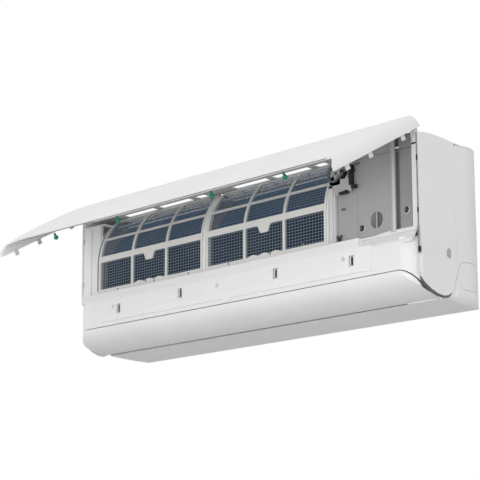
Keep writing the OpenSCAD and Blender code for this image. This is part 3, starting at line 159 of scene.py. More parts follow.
FLOOR_Z, FLOOR_HALF, FLOOR_GREY, FLOOR_ROUGHNESS = -1.2, 6.0, 0.62, 0.8
floor_mesh = bpy.data.meshes.new("floor")
floor_mesh.from_pydata([(-FLOOR_HALF, -FLOOR_HALF, FLOOR_Z), (FLOOR_HALF, -FLOOR_HALF, FLOOR_Z),
                        (FLOOR_HALF, FLOOR_HALF, FLOOR_Z), (-FLOOR_HALF, FLOOR_HALF, FLOOR_Z)], [],
                       [(0, 1, 2, 3)])
floor = bpy.data.objects.new("floor", floor_mesh)
bpy.context.scene.collection.objects.link(floor)
floor_paint = bpy.data.materials.new("floor_paint")
floor_paint.use_nodes = True
tree = floor_paint.node_tree
paint = tree.nodes["Principled BSDF"]
paint.inputs["Base Color"].default_value = (FLOOR_GREY, FLOOR_GREY, FLOOR_GREY, 1)
paint.inputs["Roughness"].default_value = FLOOR_ROUGHNESS
clear = tree.nodes.new("ShaderNodeBsdfTransparent")
side = tree.nodes.new("ShaderNodeNewGeometry")
tree.links.new(mix_by(tree, side.outputs["Backfacing"], paint.outputs[0], clear.outputs[0]),
               tree.nodes["Material Output"].inputs[0])
floor_mesh.materials.append(floor_paint)

# %% [markdown]
# ## Moulded plastic
# Nearly everything in view is injection-moulded plastic: a fine spark-eroded grain, a faint unevenness of
# colour from the flow of the melt, and a little house dust.
# One node group works these out from the piece's own coordinates, and each material gives it its own values.


# %% Helpers for materials
def linear(hex_colour):
    """The linear colour of an sRGB hex string."""
    parts = [int(hex_colour[i:i + 2], 16) / 255 for i in (0, 2, 4)]
    return (*[v / 12.92 if v <= 0.04045 else ((v + 0.055) / 1.055) ** 2.4 for v in parts], 1)


def group(name, inputs, outputs):
    """An empty node group with these inputs (name, kind, default) and outputs (name, kind)."""
    made = bpy.data.node_groups.new(name, "ShaderNodeTree")
    for label, kind, value in inputs:
        socket = made.interface.new_socket(label, in_out="INPUT", socket_type=kind)
        if value is not None:
            socket.default_value = value
    for label, kind in outputs:
        made.interface.new_socket(label, in_out="OUTPUT", socket_type=kind)
    start = made.nodes.new("NodeGroupInput")
    end = made.nodes.new("NodeGroupOutput")
    return made, start.outputs, end.inputs


def math_node(tree, operation, *values):
    """A Math node; each value is a socket or a number."""
    made = tree.nodes.new("ShaderNodeMath")
    made.operation = operation
    for i, value in enumerate(values):
        if isinstance(value, (int, float)):
            made.inputs[i].default_value = value
        else:
            tree.links.new(value, made.inputs[i])
    return made.outputs[0]


def noise(tree, vector, scale, detail=2.0):
    """Noise from 0 to 1 at so many features a metre."""
    made = tree.nodes.new("ShaderNodeTexNoise")
    made.inputs["Detail"].default_value = detail
    tree.links.new(vector, made.inputs["Vector"])
    if isinstance(scale, (int, float)):
        made.inputs["Scale"].default_value = scale
    else:
        tree.links.new(scale, made.inputs["Scale"])
    return made.outputs["Fac"]


def blend_colour(tree, share, a, b):
    """Colour a where the share is 0 and b where it is 1; each colour is a socket or a tuple."""
    made = tree.nodes.new("ShaderNodeMix")
    made.data_type = "RGBA"
    tree.links.new(share, made.inputs["Factor"])
    for value, socket in ((a, made.inputs[6]), (b, made.inputs[7])):
        if isinstance(value, tuple):
            socket.default_value = value
        else:
            tree.links.new(value, socket)
    return made.outputs[2]


# %% The moulded grain group
VALUE, COLOUR, VECTOR = "NodeSocketFloat", "NodeSocketColor", "NodeSocketVector"
moulded, given, out = group(
    "moulded_grain",
    [("Vector", VECTOR, None), ("Colour", COLOUR, None), ("Shade", COLOUR, None), ("Grain", VALUE, 2600.0),
     ("Dust", VALUE, 0.1), ("Gloss", VALUE, 0.4)],
    [("Colour", COLOUR), ("Roughness", VALUE), ("Height", VALUE)])
FLOW_SCALE, SPECK_SCALE = 9.0, 420.0
FLOW_START, FLOW_GAIN, FLOW_ROUGHNESS, SPECK_LIMIT = 0.35, 1.4, 0.12, 0.66
flow = noise(moulded, given["Vector"], FLOW_SCALE, 3.0)
specks = noise(moulded, given["Vector"], SPECK_SCALE)
fine = noise(moulded, given["Vector"], given["Grain"], 1.0)
flow_share = math_node(moulded, "MULTIPLY", math_node(moulded, "SUBTRACT", flow, FLOW_START), FLOW_GAIN)
dusty = math_node(moulded, "MULTIPLY", math_node(moulded, "GREATER_THAN", specks, SPECK_LIMIT), given["Dust"])
share = math_node(moulded, "MINIMUM", math_node(moulded, "MAXIMUM", flow_share, 0.0), 1.0)
moulded.links.new(blend_colour(moulded, dusty, blend_colour(moulded, share, given["Colour"], given["Shade"]),
                               given["Shade"]), out["Colour"])
flow_rough = math_node(moulded, "MULTIPLY", flow, FLOW_ROUGHNESS)
moulded.links.new(math_node(moulded, "ADD", given["Gloss"], flow_rough), out["Roughness"])
moulded.links.new(fine, out["Height"])


def base_material(name):
    """A new material, its tree, its Principled shader and a socket with Object coordinates."""
    made = bpy.data.materials.new(name)
    made.use_nodes = True
    tree = made.node_tree
    place = tree.nodes.new("ShaderNodeTexCoord")
    return made, tree, tree.nodes["Principled BSDF"], place.outputs["Object"]


BUMP_STRENGTH, GRAIN_DEPTH, LINE_DEPTH, PLASTIC_IOR = 0.35, 0.00004, 0.00003, 1.46


def use_group(tree, which, vector, shader, depth, **values):
    """Places a group, gives it its values and joins it to colour, roughness and bump."""
    placed = tree.nodes.new("ShaderNodeGroup")
    placed.node_tree = which
    tree.links.new(vector, placed.inputs["Vector"])
    for label, value in values.items():
        placed.inputs[label.replace("_", " ")].default_value = value
    tree.links.new(placed.outputs["Colour"], shader.inputs["Base Color"])
    tree.links.new(placed.outputs["Roughness"], shader.inputs["Roughness"])
    bump = tree.nodes.new("ShaderNodeBump")
    bump.inputs["Strength"].default_value = BUMP_STRENGTH
    bump.inputs["Distance"].default_value = depth
    tree.links.new(placed.outputs["Height"], bump.inputs["Height"])
    tree.links.new(bump.outputs["Normal"], shader.inputs["Normal"])


def plastic(name, colour, shade, gloss=0.42, grain=2600.0, dust=0.1):
    """Moulded plastic in a colour, with the shade that its flow marks and dust tend to."""
    made, tree, shader, place = base_material(name)
    use_group(tree, moulded, place, shader, GRAIN_DEPTH, Colour=linear(colour), Shade=linear(shade),
              Grain=grain, Dust=dust, Gloss=gloss)
    shader.inputs["IOR"].default_value = PLASTIC_IOR
    return made


# %% [markdown]
# ## Metals
# Sheet metal shows the direction in which it was rolled, and copper dulls in cloudy patches.
# A second group stretches its noise along one axis for the first and tints with slow noise for the second.

# %% The rolled metal group
rolled, given, out = group(
    "rolled_metal",
    [("Vector", VECTOR, None), ("Colour", COLOUR, None), ("Tarnish", COLOUR, None), ("Stretch", VALUE, 12.0),
     ("Gloss", VALUE, 0.3)],
    [("Colour", COLOUR), ("Roughness", VALUE), ("Height", VALUE)])
split = rolled.nodes.new("ShaderNodeSeparateXYZ")
rolled.links.new(given["Vector"], split.inputs[0])
drawn = rolled.nodes.new("ShaderNodeCombineXYZ")
rolled.links.new(math_node(rolled, "DIVIDE", split.outputs[0], given["Stretch"]), drawn.inputs[0])
rolled.links.new(split.outputs[1], drawn.inputs[1])
rolled.links.new(split.outputs[2], drawn.inputs[2])
LINE_SCALE, CLOUD_SCALE, LINE_LIFT, CLOUD_ROUGHNESS = 900.0, 26.0, 0.4, 0.25
lines = noise(rolled, drawn.outputs[0], LINE_SCALE)
clouds = noise(rolled, given["Vector"], CLOUD_SCALE, 3.0)
patch = math_node(rolled, "MULTIPLY", clouds, math_node(rolled, "ADD", lines, LINE_LIFT))
rolled.links.new(blend_colour(rolled, patch, given["Colour"], given["Tarnish"]), out["Colour"])
cloud_rough = math_node(rolled, "MULTIPLY", clouds, CLOUD_ROUGHNESS)
rolled.links.new(math_node(rolled, "ADD", given["Gloss"], cloud_rough), out["Roughness"])
rolled.links.new(lines, out["Height"])


def metal(name, colour, tarnish, gloss=0.3, stretch=12.0, metallic=1.0):
    """Rolled or drawn metal with its tarnish; a dull passivated skin is less metallic than a bright one."""
    made, tree, shader, place = base_material(name)
    use_group(tree, rolled, place, shader, LINE_DEPTH, Colour=linear(colour), Tarnish=linear(tarnish),
              Stretch=stretch, Gloss=gloss)
    shader.inputs["Metallic"].default_value = metallic
    return made


# %% [markdown]
# ## Circuit board
# The board is green lacquer over copper tracks. A wave texture, cut to a step, gives the rows of tracks,
# and a fine Voronoi pattern gives the solder dots.


# %% Circuit board
def board_lacquer(name):
    """Green lacquer with paler tracks and small tin dots."""
    track_scale, track_wander, track_limit = 90.0, 6.0, 0.72
    dot_scale, dot_limit, dot_depth = 260.0, 0.22, 0.0001
    lacquer_roughness, dot_roughness = 0.4, -0.15
    made, tree, shader, place = base_material(name)
    tracks = tree.nodes.new("ShaderNodeTexWave")
    tracks.inputs["Scale"].default_value = track_scale
    tracks.inputs["Distortion"].default_value = track_wander
    tree.links.new(place, tracks.inputs["Vector"])
    dots = tree.nodes.new("ShaderNodeTexVoronoi")
    dots.inputs["Scale"].default_value = dot_scale
    tree.links.new(place, dots.inputs["Vector"])
    line = math_node(tree, "GREATER_THAN", tracks.outputs["Fac"], track_limit)
    dot = math_node(tree, "LESS_THAN", dots.outputs["Distance"], dot_limit)
    colour = blend_colour(tree, line, linear("1f5a38"), linear("3d7f52"))
    tree.links.new(blend_colour(tree, dot, colour, linear("b8bcb6")), shader.inputs["Base Color"])
    smoother = math_node(tree, "MULTIPLY", dot, dot_roughness)
    tree.links.new(math_node(tree, "ADD", smoother, lacquer_roughness), shader.inputs["Roughness"])
    bump = tree.nodes.new("ShaderNodeBump")
    bump.inputs["Distance"].default_value = dot_depth
    tree.links.new(math_node(tree, "MAXIMUM", line, dot), bump.inputs["Height"])
    tree.links.new(bump.outputs["Normal"], shader.inputs["Normal"])
    return made


# %% The finishes
FINISH = {
    "panel_white": plastic("panel_white", "ebebeb", "e5e5e5", gloss=0.36, dust=0.02),
    "strip_white": plastic("strip_white", "eeeeee", "e8e8e8", gloss=0.4, dust=0.03),
    "frame_white": plastic("frame_white", "ebebeb", "e4e4e4", gloss=0.42, dust=0.05),
    "cover_white": plastic("cover_white", "ebebeb", "e5e5e5", gloss=0.42, dust=0.03),
    "housing_white": plastic("housing_white", "ebebeb", "e4e4e4", gloss=0.45, dust=0.04),
    "flap_white": plastic("flap_white", "ebebeb", "e4e4e4", gloss=0.38, dust=0.02),
    "liner_grey": plastic("liner_grey", "8f9294", "7f8284", gloss=0.5, dust=0.1),
    "inner_grey": plastic("inner_grey", "bfc1c2", "b2b4b5", gloss=0.5, dust=0.15),
    "filter_grey": plastic("filter_grey", "dfdedb", "d6d5d1", gloss=0.45, dust=0.06),
    "net_grey": plastic("net_grey", "8393a5", "6f7f91", gloss=0.6, dust=0.2, grain=4000.0),
    "hook_green": plastic("hook_green", "008460", "006c50", gloss=0.3, dust=0.05),
    # A darker copy of the white plastic for the seats, pins and cable guide: painted shade.
    "white_painted_shade": plastic("white_painted_shade", "d8d8d8", "c6c6c6", gloss=0.5, dust=0.1),
    # Near black for the right end's slots: painted shade.
    "slot_painted_shade": plastic("slot_painted_shade", "26272a", "303134", gloss=0.7, dust=0.2),
    # Dark grey for sheets that stand for shadow: painted shadow.
    "painted_shadow_grey": plastic("painted_shadow_grey", "626262", "585858", gloss=0.6, dust=0.1),
    # Mid grey for the side cover's shaded front edge: painted shade.
    "edge_painted_shade_grey": plastic("edge_painted_shade_grey", "8e8e8e", "828282", gloss=0.6, dust=0.1),
    "lead_grey": plastic("lead_grey", "6f7072", "5f6062", gloss=0.45, dust=0.1, grain=1500.0),
    "mark_grey": plastic("mark_grey", "b4b4b4", "a2a2a2", gloss=0.5, dust=0.05),
    "cheek_grey": plastic("cheek_grey", "8c8782", "7b7671", gloss=0.55, dust=0.2),
    "fan_dark": plastic("fan_dark", "34383d", "3d4146", gloss=0.5, dust=0.3, grain=1800.0),
    "rubber_dark": plastic("rubber_dark", "1d1e20", "2a2b2d", gloss=0.7, dust=0.3, grain=1500.0),
    "hose_white": plastic("hose_white", "d9d8d2", "cfcec7", gloss=0.5, dust=0.15),
    "relay_blue": plastic("relay_blue", "2b4d86", "24406f", gloss=0.35, dust=0.1),
    "block_dark": plastic("block_dark", "3a3d40", "303336", gloss=0.5, dust=0.1),
    "sleeve_blue": plastic("sleeve_blue", "3b4a63", "2f3c52", gloss=0.25, dust=0.05),
    "cover_steel": metal("cover_steel", "b2b2b2", "a7a7a7", gloss=0.45, metallic=0.35),
    # A lighter copy of the cover's steel: painted highlight on the bead's ridge.
    "bead_painted_highlight": metal("bead_painted_highlight", "c6c6c6", "b8b8b8", gloss=0.35, metallic=0.35),
    # A darker copy of the cover's steel for its hollows and openings: painted shade.
    "recess_painted_shade_steel": metal("recess_painted_shade_steel", "7a7a7a", "707070", gloss=0.5, metallic=0.3),
    "zinc_steel": metal("zinc_steel", "a4a5a6", "8f9091", gloss=0.4, metallic=0.5),
    "bracket_zinc": metal("bracket_zinc", "c9c9c9", "b4b4b4", gloss=0.4, metallic=0.35),
    "screw_steel": metal("screw_steel", "d4d4d4", "a8a8a8", gloss=0.3, stretch=1.0, metallic=0.4),
    "screw_pale": metal("screw_pale", "e4e4e4", "cfcfcf", gloss=0.35, stretch=1.0, metallic=0.15),
    "screw_black": metal("screw_black", "3a3b3d", "222325", gloss=0.3, stretch=1.0, metallic=0.6),
    "motor_steel": metal("motor_steel", "8d9298", "767b81", gloss=0.35),
    # Two copies of one fin colour: the darker one is painted shade, the lighter one painted light.
    "fin_painted_shade": metal("fin_painted_shade", "2f4052", "243242", gloss=0.5, metallic=0.4),
    "fin_painted_light": metal("fin_painted_light", "5f86ab", "4b6f92", gloss=0.45, metallic=0.5),
    "copper": metal("copper", "c17a4e", "7f4a2e", gloss=0.28, stretch=4.0),
    "board": board_lacquer("board_green"),
}
WORN_BY = {
    "panel_white": ["panel_shell"],
    "strip_white": ["rail_cover"],
    "white_painted_shade": ["panel_pins", "cable_guide"],
    "frame_white": ["front_frame", "top_grille"],
    "cover_white": ["side_cover_left", "side_cover_right"],
    "housing_white": ["rear_housing", "pipe_knockouts"],
    "flap_white": ["flap_skin", "flap_liner",
                   *[f"louver_{s}_{i}" for s in ("left", "right") for i in range(1, 5)]],
    "liner_grey": ["panel_liner"],
    "inner_grey": ["air_scroll", "drain_pan", "drain_spout", "motor_clamp", "flap_arms", "link_bar_left",
                   "link_bar_right"],
    "filter_grey": ["filter_frame_left", "filter_frame_right"],
    "net_grey": ["filter_net_left", "filter_net_right"],
    "hook_green": ["latch_hooks"],
    "fan_dark": ["fan_wheel"],
    "rubber_dark": ["fan_bush"],
    "lead_grey": ["black_leads"],
    "hose_white": ["drain_hose", "hose_cuff"],
    "relay_blue": ["relay"],
    "block_dark": ["terminal_block"],
    "sleeve_blue": ["capacitor"],
    "cover_steel": ["control_cover"],
    "zinc_steel": ["wall_plate", "control_box", "coil_plate_left", "coil_plate_right", "flap_motor"],
    "bracket_zinc": ["lead_bracket"],
    "screw_steel": ["box_screws", "rail_screws", "fan_shaft"],
    "motor_steel": ["fan_motor"],
    "fin_painted_light": ["coil_front_lower", "coil_front_upper", "coil_rear"],
    "copper": ["tube_bends_left", "tube_bends_right", "gas_pipe", "liquid_pipe"],
    "board": ["control_board"],
}
dressed = set()
for finish, worn in WORN_BY.items():
    for name in worn:
        mesh = nodes[name].data
        mesh.materials.clear()
        mesh.materials.append(FINISH[finish])
        dressed.add(name)
print("nodes without a finish:", sorted(set(nodes) - dressed))

# %% [markdown]
# ## Building surfaces
# Each new piece is a grid of points worked out with numpy. These helpers turn grids into meshes:
# a closed sweep joins the last point of every ring to its first and caps both ends,
# and a set of slabs makes many thin boxes at once.


# %% Mesh helpers
def piece(name, points, faces, body, finish, stands_for=(), smooth=True):
    """Puts points and faces into a mesh, gives it its finish and lets it ride on a body."""
    mesh = bpy.data.meshes.new(name)
    mesh.from_pydata(np.asarray(points).reshape(-1, 3).tolist(), [], faces)
    mesh.validate()
    mesh.materials.append(FINISH[finish])
    if smooth:
        mesh.shade_smooth()
    else:
        mesh.shade_flat()
    made = bpy.data.objects.new(name, mesh)
    bpy.context.scene.collection.objects.link(made)
    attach(made, body)
    if stands_for:
        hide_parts(*stands_for)
    print(name, "has", len(mesh.polygons), "faces")
    return made


def outward(mesh):
    """Turns every face outwards on a closed mesh."""
    form = bmesh.new()
    form.from_mesh(mesh)
    bmesh.ops.recalc_face_normals(form, faces=form.faces)
    form.to_mesh(mesh)
    form.free()


def sweep_faces(rings, around, caps=True, start=0):
    """Quads between rings of equal size, each ring closed, with a fan of one polygon over each end."""
    i, j = np.meshgrid(np.arange(rings - 1), np.arange(around), indexing="ij")
    a = i * around + j
    b = i * around + (j + 1) % around
    quads = np.stack([a, b, b + around, a + around], -1).reshape(-1, 4) + start
    faces = quads.tolist()
    if caps:
        faces.append(list(range(start + around - 1, start - 1, -1)))
        faces.append(list(range(start + (rings - 1) * around, start + rings * around)))
    return faces


def slabs(low, high):
    """Points and faces of many boxes, given their low and high corners as arrays."""
    low, high = np.asarray(low, float), np.asarray(high, float)
    pick = np.array([[0, 0, 0], [1, 0, 0], [1, 1, 0], [0, 1, 0], [0, 0, 1], [1, 0, 1], [1, 1, 1], [0, 1, 1]])
    points = low[:, None, :] * (1 - pick) + high[:, None, :] * pick
    sides = np.array([[0, 3, 2, 1], [4, 5, 6, 7], [0, 1, 5, 4], [1, 2, 6, 5], [2, 3, 7, 6], [3, 0, 4, 7]])
    faces = (sides[None] + 8 * np.arange(len(low))[:, None, None]).reshape(-1, 4)
    return points.reshape(-1, 3), faces.tolist()


def smooth_path(points, spacing):
    """A Catmull-Rom curve through the points, then sampled at equal steps of about this spacing."""
    p = np.asarray(points, float)
    p = np.vstack([2 * p[0] - p[1], p, 2 * p[-1] - p[-2]])
    t = np.linspace(0, 1, 24, endpoint=False)[:, None]
    runs = [0.5 * (2 * b + (c - a) * t + (2 * a - 5 * b + 4 * c - d) * t ** 2
                   + (3 * b - a - 3 * c + d) * t ** 3)
            for a, b, c, d in zip(p[:-3], p[1:-2], p[2:-1], p[3:])]
    line = np.vstack([*runs, p[-2][None]])
    along = np.concatenate([[0], np.cumsum(np.linalg.norm(np.diff(line, axis=0), axis=1))])
    even = np.linspace(0, along[-1], max(2, int(round(along[-1] / spacing)) + 1))
    return np.stack([np.interp(even, along, line[:, k]) for k in range(3)], 1), along[-1]


def tube_points(path, radius, around):
    """Rings of points round a path; each ring's axes are the last ring's, turned with the path."""
    path = np.asarray(path, float)
    radius = np.broadcast_to(radius, len(path))
    tangent = np.gradient(path, axis=0)
    tangent /= np.linalg.norm(tangent, axis=1)[:, None]
    side = np.cross(tangent[0], [0.3, 0.5, 0.8])
    rings = []
    turn = np.linspace(0, 2 * np.pi, around, endpoint=False)
    for here, along, r in zip(path, tangent, radius):
        side = side - along * (side @ along)
        side /= np.linalg.norm(side)
        other = np.cross(along, side)
        rings.append(here + r * (np.cos(turn)[:, None] * side + np.sin(turn)[:, None] * other))
    return np.array(rings)


# %% [markdown]
# ## Leads and drain hose
# The leads from the bracket to the control box are one grey cord, with a small wire clip below it.
# The ribbed drain hose goes from the pan's spout to the channel in the back.
# They come first, because a cord's length is fixed before anything else is dressed.

# %% Leads, clip and hose
LEAD_ROUTE = np.array([[275, -189.4, 118], [258, -189.4, 108], [255, -189.4, 92], [266, -189.4, 84],
                       [282, -189.4, 92], [298, -182, 106], [318, -181, 108]]) * MM
LEAD_WIDTH, LEAD_SPACING, LEAD_AROUND = 4 * MM, 3 * MM, 12
lead_path, lead_length = smooth_path(LEAD_ROUTE, LEAD_SPACING)
lead_rings = tube_points(lead_path, LEAD_WIDTH / 2, LEAD_AROUND)
lead = piece("sensor_lead", lead_rings, sweep_faces(len(lead_path), LEAD_AROUND), "base",
             "lead_grey", ["black_leads"])

CLIP_ROUTE = np.array([[266.8, -181.6, -9], [270.8, -181.6, -18.5], [275.8, -181.6, -8.5]]) * MM
CLIP_R, CLIP_SPACING, CLIP_AROUND = 1.4 * MM, 1.5 * MM, 10
clip_path = smooth_path(CLIP_ROUTE, CLIP_SPACING)[0]
piece("wire_clip", tube_points(clip_path, CLIP_R, CLIP_AROUND), sweep_faces(len(clip_path), CLIP_AROUND),
      "base", "rubber_dark")

HOSE_ROUTE = np.array([[262, -166, -63], [288, -166, -66], [318, -118, -98], [352, -84, -102],
                       [368, -60, -96], [368, -46, -92], [368, -36, -92]]) * MM
HOSE_WIDTH, HOSE_RIB, RIB_DEPTH, PLAIN_END = 16 * MM, 4 * MM, 0.9 * MM, 14 * MM
HOSE_SPACING, HOSE_AROUND = 0.8 * MM, 24
hose_path, hose_length = smooth_path(HOSE_ROUTE, HOSE_SPACING)
along = np.linspace(0, hose_length, len(hose_path))
hose_radius = HOSE_WIDTH / 2 - RIB_DEPTH / 2 * (1 - np.cos(2 * np.pi * along / HOSE_RIB))
hose_radius[along < PLAIN_END] = HOSE_WIDTH / 2
hose_rings = tube_points(hose_path, hose_radius, HOSE_AROUND)
hose = piece("ribbed_drain_hose", hose_rings, sweep_faces(len(hose_path), HOSE_AROUND), "base",
             "hose_white", ["drain_hose"])
print("lead length", round(lead_length, 4), "hose length", round(hose_length, 4))

# %% [markdown]
# ## Air flap
# The flap is a thin shell whose section is a quarter of an ellipse. Seen from above its ends follow the
# rounded corners of the chin, and seen from the front its upper corners are rounded as well.
# A grid of two parameters gives it: the place along the unit and the angle on the ellipse.
# The angle starts where the ellipse passes under the rounded corner, and a point that would reach past the
# plan's corner arc is pushed back to the arc.

# %% Flap
FRAME_X, FLAP_X, END_R = 446.9 * MM, 443.9 * MM, 34 * MM
FLAP_FRONT, FLAP_REAR, FLAP_TOP, FLAP_BOTTOM, FLAP_T = 195 * MM, 119.5 * MM, 90.8 * MM, 130 * MM, 2.2 * MM
FLAP_GAP, TOP_EASE, LARGEST_SINE = 1.5 * MM, 0.4, 0.98
END_STEPS, MIDDLE_STEPS, SECTION_STEPS = 26, 25, 49


def arc_drop(x, side, corner):
    """How far a rounded corner falls below its level edge at x: the radius less the circle's height."""
    over = np.clip(np.abs(x) - (side - corner), 0, corner)
    return corner - np.sqrt(np.maximum(corner ** 2 - over ** 2, 0))


def flap_line(x, share, inset):
    """Depth and height at a share of the ellipse's quarter, from the top edge to the rear edge."""
    a, b = FLAP_FRONT - FLAP_REAR - inset, FLAP_BOTTOM - FLAP_TOP - inset
    top = arc_drop(x, FRAME_X - FLAP_GAP, END_R - FLAP_GAP) + inset * TOP_EASE
    start = np.arcsin(np.clip(top / b, 0, LARGEST_SINE))
    angle = start + (np.pi / 2 - start) * share
    y = -FLAP_REAR - a * np.cos(angle)
    z = -FLAP_TOP - b * np.sin(angle)
    reach = FLAP_FRONT - inset - arc_drop(x, FRAME_X - inset, END_R - inset)
    return np.maximum(y, -reach), z


ends = FLAP_X - END_R * (1 - np.sin(np.linspace(0, np.pi / 2, END_STEPS)))
middle = np.linspace(-ends.min(), ends.min(), MIDDLE_STEPS)
stations = np.unique(np.round(np.concatenate([-ends, middle, ends]), 6))
xs = stations[:, None]
share = np.linspace(0, 1, SECTION_STEPS)[None]
yo, zo = flap_line(xs, share, 0.0)
yi, zi = flap_line(xs, share[:, ::-1], FLAP_T)
ring_y, ring_z = np.hstack([yo, yi]), np.hstack([zo, zi])
flap_points = np.stack([np.broadcast_to(xs, ring_y.shape), ring_y, ring_z], -1)
piece("flap_shell", flap_points, sweep_faces(len(stations), ring_y.shape[1]), "flap", "flap_white",
      ["flap_skin"])

# %% [markdown]
# ## Filter nets
# Each filter frame holds a net that follows the frame: straight up from the foot, then round the arc.
# Its strands are thin four-sided bars, one set along the profile and one set across it.

# %% Nets
ARC_Y, ARC_Z, ARC_R = -64 * MM, 33 * MM, 126 * MM
NET_DEPTH, NET_PITCH, NET_ALONG, STRAND = 1.2 * MM, 5.4 * MM, 7.1 * MM, 0.55 * MM
FOOT_Z, NET_END, NET_STEPS, NET_INSET = -18 * MM, math.radians(131), 56, 2 * MM


def net_line(s, r):
    """Depth and height at a length s from the foot: a straight run, then an arc of radius r."""
    straight = ARC_Z - FOOT_Z
    angle = np.pi - np.maximum(s - straight, 0) / ARC_R
    y = np.where(s < straight, ARC_Y - r, ARC_Y + r * np.cos(angle))
    z = np.where(s < straight, FOOT_Z + s, ARC_Z + r * np.sin(angle))
    return y, z


def net(name, x0, x1, body, node):
    """Strands along the profile at each x, and strands across at each length."""
    total = ARC_Z - FOOT_Z + ARC_R * (np.pi - NET_END)
    s = np.linspace(0, total, NET_STEPS)
    count = int(round((x1 - x0) / NET_ALONG))
    x = x0 + (np.arange(count) + 0.5) * (x1 - x0) / count
    r = ARC_R - NET_DEPTH
    corners = np.array([[-1, 0], [0, 1], [1, 0], [0, -1]]) * STRAND
    rings = []
    for side, out_by in corners:
        y, z = net_line(s, r + out_by)
        rings.append(np.stack([np.broadcast_to((x + side)[:, None], (count, len(s))),
                               np.broadcast_to(y, (count, len(s))), np.broadcast_to(z, (count, len(s)))], -1))
    points = np.stack(rings, 2)
    one = sweep_faces(len(s), 4)
    faces = [[v + k * len(s) * 4 for v in f] for k in range(count) for f in one]
    across = np.arange(1, int(total / NET_PITCH)) * NET_PITCH
    y_in, z_in = net_line(across, r - 2 * STRAND)
    y_out, z_out = net_line(across, r)
    y_mid, z_mid = net_line(across + STRAND, r - STRAND)
    y_low, z_low = net_line(across - STRAND, r - STRAND)
    ends_x = np.array([x0, x1])
    cross = np.stack([np.stack([np.broadcast_to(ends_x, (len(across), 2)), np.repeat(y[:, None], 2, 1),
                                np.repeat(z[:, None], 2, 1)], -1)
                      for y, z in ((y_in, z_in), (y_mid, z_mid), (y_out, z_out), (y_low, z_low))], 2)
    base = points.reshape(-1, 3)
    start = len(base)
    one = sweep_faces(2, 4)
    faces += [[v + start + k * 8 for v in f] for k in range(len(across)) for f in one]
    points = np.vstack([base, cross.reshape(-1, 3)])
    piece(name, points, faces, body, "net_grey", [node], smooth=False)


for side in ("left", "right"):
    low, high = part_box(f"filter_frame_{side}")
    net(f"net_{side}", low.x + NET_INSET, high.x - NET_INSET, f"filter_{side}", f"filter_net_{side}")

# %% [markdown]
# ## Fin packs
# The evaporator is a stack of thin aluminium fins threaded on copper tubes.
# The CAD slabs have few, thick fins; here each slab gets its real density and the tubes between them.

# %% Fins and tubes
COIL_X0, COIL_X1, COIL_T = -376 * MM, 242 * MM, 24 * MM
FIN_PITCH, FIN_T, ROW_GAP, TUBE_PITCH = 2.4 * MM, 0.25 * MM, 12 * MM, 21 * MM
TUBE_R, TUBE_AROUND, TUBE_ROWS, TUBE_STEPS = 3.6 * MM, 12, (-0.5, 0.5), (-1.5, -0.5, 0.5, 1.5)
# Each slab's centre (y, z) and height in mm and its lean in degrees; the tubes' pitch goes with the height.
SLABS = {"lower": (-165, -4, 88, 0.0), "upper": (-135.5, 80, 74, -36.9), "rear": (-64, 72, 92, 31.0)}
PITCH_HEIGHT = SLABS["lower"][2]


def leaned(points, y, z, lean):
    """Turns points about X by the lean and moves them to the slab's centre."""
    c, s = math.cos(math.radians(lean)), math.sin(math.radians(lean))
    return np.stack([points[:, 0], y + points[:, 1] * c - points[:, 2] * s,
                     z + points[:, 1] * s + points[:, 2] * c], 1)


for label, (cy, cz, height, lean) in SLABS.items():
    node = "coil_rear" if label == "rear" else f"coil_front_{label}"
    half = height / 2 * MM
    x = np.arange(COIL_X0 + FIN_PITCH / 2, COIL_X1 - FIN_T, FIN_PITCH)
    low = np.stack([x, np.full_like(x, -COIL_T / 2), np.full_like(x, -half)], 1)
    high = np.stack([x + FIN_T, np.full_like(x, COIL_T / 2), np.full_like(x, half)], 1)
    points, faces = slabs(low, high)
    for row in TUBE_ROWS:
        for k in TUBE_STEPS:
            across, up = row * ROW_GAP, k * TUBE_PITCH * height / PITCH_HEIGHT
            rings = tube_points([[COIL_X0, across, up], [COIL_X1, across, up]], TUBE_R, TUBE_AROUND)
            faces += sweep_faces(2, TUBE_AROUND, start=len(points))
            points = np.vstack([points, rings.reshape(-1, 3)])
    # The lower slab wears the darker copy of the fin colour (painted shade), the upper and rear slabs the
    # lighter copy (painted light); real fins are one colour.
    piece(f"fin_pack_{label}", leaned(points, cy * MM, cz * MM, lean), faces, "base",
          "fin_painted_shade" if label == "lower" else "fin_painted_light", [node], smooth=False)

# %% [markdown]
# ## Screw heads
# Each screw is a turned shank with a domed head and a cross recess. The head's height over its disc is the
# dome less the recess, which is deep where a point lies inside one of the two crossing bars.


